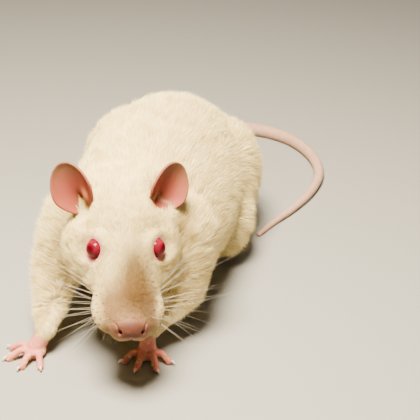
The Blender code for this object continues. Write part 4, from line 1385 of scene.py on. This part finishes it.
def rods(name, paths, finish, sides):
    """Thin tapered rods in one mesh, each a line and its radii; notes how far along each point is."""
    shape = bmesh.new()
    layer = shape.verts.layers.float.new("along")
    for line, thick in paths:
        rows = []
        for i, ring in enumerate(rings_along(line, thick, sides)):
            row = [shape.verts.new(p) for p in ring]
            for vert in row:
                vert[layer] = i / (len(line) - 1)
            rows.append(row)
        wall(shape, rows)
        shape.faces.new(rows[0][::-1])
        shape.faces.new(rows[-1])
    bmesh.ops.recalc_face_normals(shape, faces=shape.faces)
    return finished(from_bmesh(name, shape), finish)


def claws(finish):
    paths = []
    for side, _ in BOTH_SIDES:
        for _, hook in toes(side, False) + toes(side, True):
            line = smooth_line(hook, 4)
            paths.append((line, along(CLAW_RADII, len(line))))
    return rods("claws", paths, finish, 8)


def whiskers(skin, finish, pit_finish):
    """Rows of whiskers on each pad, two over each eye and one on each cheek, curved back and down."""
    surface = BVHTree.FromObject(skin, bpy.context.evaluated_depsgraph_get())
    turn = HEAD.to_3x3()
    back = turn @ Vector((-1.0, 0.0, 0.0))
    pick = np.random.default_rng(31)
    paths, pits = [], []
    for _, mirror in BOTH_SIDES:
        roots = []
        for row, (up, rise) in enumerate(WHISKER_ROWS):
            for forward, length, out in WHISKER_COLUMNS[: 5 if row < 4 else 4]:
                roots.append((forward - 0.8 * (row % 2), up - 0.12 * (forward - 12.0), rise, length, out))
        roots += LONE_WHISKERS
        for _ in range(LIP_WHISKERS):
            roots.append([pick.uniform(*span) for span in LIP_WHISKER_SPANS])
        aim = (turn @ Vector((0.0, -mirror, -0.09))).normalized()
        for forward, up, rise, length, out in roots:
            start = HEAD @ Vector((forward, 22.0 * mirror, up + 2.0))
            hit = surface.ray_cast(start * MM, aim)[0]
            if hit is None:
                continue
            place = hit / MM
            length *= pick.uniform(0.8, 1.12)
            out = math.radians(out + pick.uniform(-9, 9))
            rise = math.radians(rise + pick.uniform(-11, 11))
            level = math.cos(rise)
            way = turn @ Vector((math.cos(out) * level, math.sin(out) * mirror * level, math.sin(rise)))
            droop = pick.uniform(0.08, 0.34)
            line = []
            for t in np.linspace(0.0, 1.0, 9):
                bend = back * (0.22 * t * t) + Vector((0, 0, -droop * t * t))
                point = place - way * 0.4 + (way * float(t) + bend) * length
                point.z = max(point.z, 0.5)
                line.append(point)
            thick = 0.03 if length > 20 else 0.028 if length > 8 else 0.024
            if forward > 10.0 and length > 8.0:
                pits.append(([place + way * step for step in PIT_STEPS], PIT_RADII))
            paths.append((line, along([thick * share for share in WHISKER_TAPER], len(line))))
    return rods("whiskers", paths, finish, 5), rods("whisker_pits", pits, pit_finish, 6)


# Light and view


def studio_floor():
    """A plain pale floor that curves up far behind."""
    shape = bmesh.new()
    edges = (-FLOOR_HALF_WIDTH, FLOOR_HALF_WIDTH)
    rows = [[shape.verts.new((x, y, z)) for x in edges] for y, z in FLOOR_PROFILE]
    for low, high in zip(rows, rows[1:]):
        shape.faces.new((low[0], low[1], high[1], high[0]))
    made = from_bmesh("studio_floor", shape, 1.0)
    matt, _ = material("matt_paper")
    made.data.materials.append(dressed(matt, {"Base Color": linear("#8C8983"), "Roughness": 0.9}))


def studio_light():
    """A soft key from above and to the viewer's left, a weak fill from the right, and a pale surround."""
    for name, place, aim, size, power, colour, angle in LAMPS:
        light = bpy.data.lights.new(name, "AREA")
        light.spread = math.radians(angle)
        light.shape, light.size, light.energy, light.color = "DISK", size, power, linear(colour)[:3]
        made = mesh_object(name, light)
        made.location = place
        made.rotation_euler = (Vector(aim) - Vector(place)).to_track_quat("-Z", "Y").to_euler()
    world = bpy.data.worlds.new("studio")
    bpy.context.scene.world = world
    world.use_nodes = True
    sky = world.node_tree.nodes["Background"]
    plug(world.node_tree, sky, {"Color": linear(SURROUND[0]), "Strength": SURROUND[1]})


def camera(middle):
    """The camera of the photograph, set by where the middle of the eyes lies in its picture."""
    a, e, r = VIEW_AZIMUTH, VIEW_ELEVATION, VIEW_ROLL
    back = Vector((math.sin(a) * math.cos(e), -math.cos(a) * math.cos(e), math.sin(e)))
    right = (-back).cross(Vector((0, 0, 1))).normalized()
    up = right.cross(-back)
    across = right * math.cos(r) + up * math.sin(r)
    rise = up * math.cos(r) - right * math.sin(r)
    half = IMAGE_SIDE / 2
    sideways, upwards = (EYES_IN_IMAGE[0] - half) / FOCAL_PIXELS, (half - EYES_IN_IMAGE[1]) / FOCAL_PIXELS
    ray = -back + across * sideways + rise * upwards
    data = bpy.data.cameras.new("camera")
    data.sensor_width, data.clip_start = SENSOR, 0.01
    data.lens = SENSOR * FOCAL_PIXELS / IMAGE_SIDE
    made = mesh_object("camera", data)
    turn = Matrix((across, rise, back)).transposed().to_4x4()
    made.matrix_world = Matrix.Translation(middle - ray * EYES_DISTANCE) @ turn
    bpy.context.scene.camera = made


# Putting it together


def middle_of(name):
    low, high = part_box(name)
    return (Vector(low) + Vector(high)) / 2


def regions(skin):
    """The faces of each piece of the coat."""
    middles = read(skin.data.polygons, "center", 3) / MM
    index = read(skin.data.polygons, "material_index", kind=np.int32)
    forward, aside, _ = in_frame(HEAD, middles).T
    across, behind, height = middles.T
    head = (forward > HEAD_BACK) & (height > HEAD_FOOT) & (index == 0)
    face = head & (forward > 0.0)
    legs = np.zeros(len(middles), bool)
    for side, _ in BOTH_SIDES:
        legs |= (distance_to_arm(middles, side)[0] < ARM_REACH) & (height < ARM_TOP)
    legs &= (index == 0) & ~head
    rest = (index == 0) & ~head & ~legs
    neck = rest & (behind < NECK_END)
    rest &= ~neck
    back = rest & (height > BACK_FOOT)
    rump = rest & ~back & (behind > RUMP_START)
    flank = rest & ~back & ~rump
    left = across > 0.0
    return {
        "coat_face": face,
        "coat_crown_left": head & ~face & (aside > 0.0),
        "coat_crown_right": head & ~face & (aside <= 0.0),
        "coat_neck": neck,
        "coat_arms": legs,
        "coat_back": back,
        "coat_rump_left": rump & left,
        "coat_rump_right": rump & ~left,
        "coat_flank_left": flank & left,
        "coat_flank_right": flank & ~left,
        "down_on_feet_and_ears": (index == 1) | (index == 2),
    }


def whole_coat(skin):
    """The pieces of the coat, each grown from its own seed."""
    finish = fur_finish()
    shapes = bpy.data.collections.new("tuft_shapes")
    for k in range(TUFT_SHAPES):
        tuft_shape("tuft_%d" % k, 50 + k, shapes)
    tree = coat_tree(shapes)
    density = TUFTS_ON_BODY / 1
    pieces = []
    for k, (name, chosen) in enumerate(regions(skin).items()):
        inputs = {"Tufts per square metre": density, "Seed": 100 + k, "Fur": finish}
        coat = grow_coat(skin, name, chosen, tree, inputs)
        pieces.append(coat)
    for obj in list(shapes.objects):
        bpy.data.objects.remove(obj)
    bpy.data.collections.remove(shapes)
    return pieces


def main():
    found = (middle_of("eye_left") + middle_of("eye_right")) / 2
    shift = Matrix.Translation(found - (EYES[1].translation + EYES[-1].translation) / 2 * MM)
    skin = join_skin()
    seams = np.abs(parts_of_points(skin)[0] - 0.5) < 0.49
    soften(skin, spread(skin, seams.astype(float), 2) > 0.02, 4)
    mark_skin(skin)
    unwrap(skin, "unwrap")
    pieces = whole_coat(skin)
    ruby = eye_finish()
    eyes = [eyeball("eyeball_" + side, mirror, ruby) for side, mirror in BOTH_SIDES]
    horn = claws(claw_finish())
    hairs, pits = whiskers(skin, whisker_finish(), follicle_finish())
    skin.data.polygons.foreach_set("material_index", [0] * len(skin.data.polygons))
    finished(skin, skin_finish())
    for obj in pieces + eyes + [horn, hairs, pits, skin]:
        obj.data.transform(shift)
        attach(obj, "root")
    nodes = [name for name in frame["nodes"] if not name.startswith("eye_")]
    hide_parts(*nodes)
    for obj, side in zip(eyes, ("left", "right")):
        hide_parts("eye_" + side)
    studio_floor()
    studio_light()
    camera(found)


main()
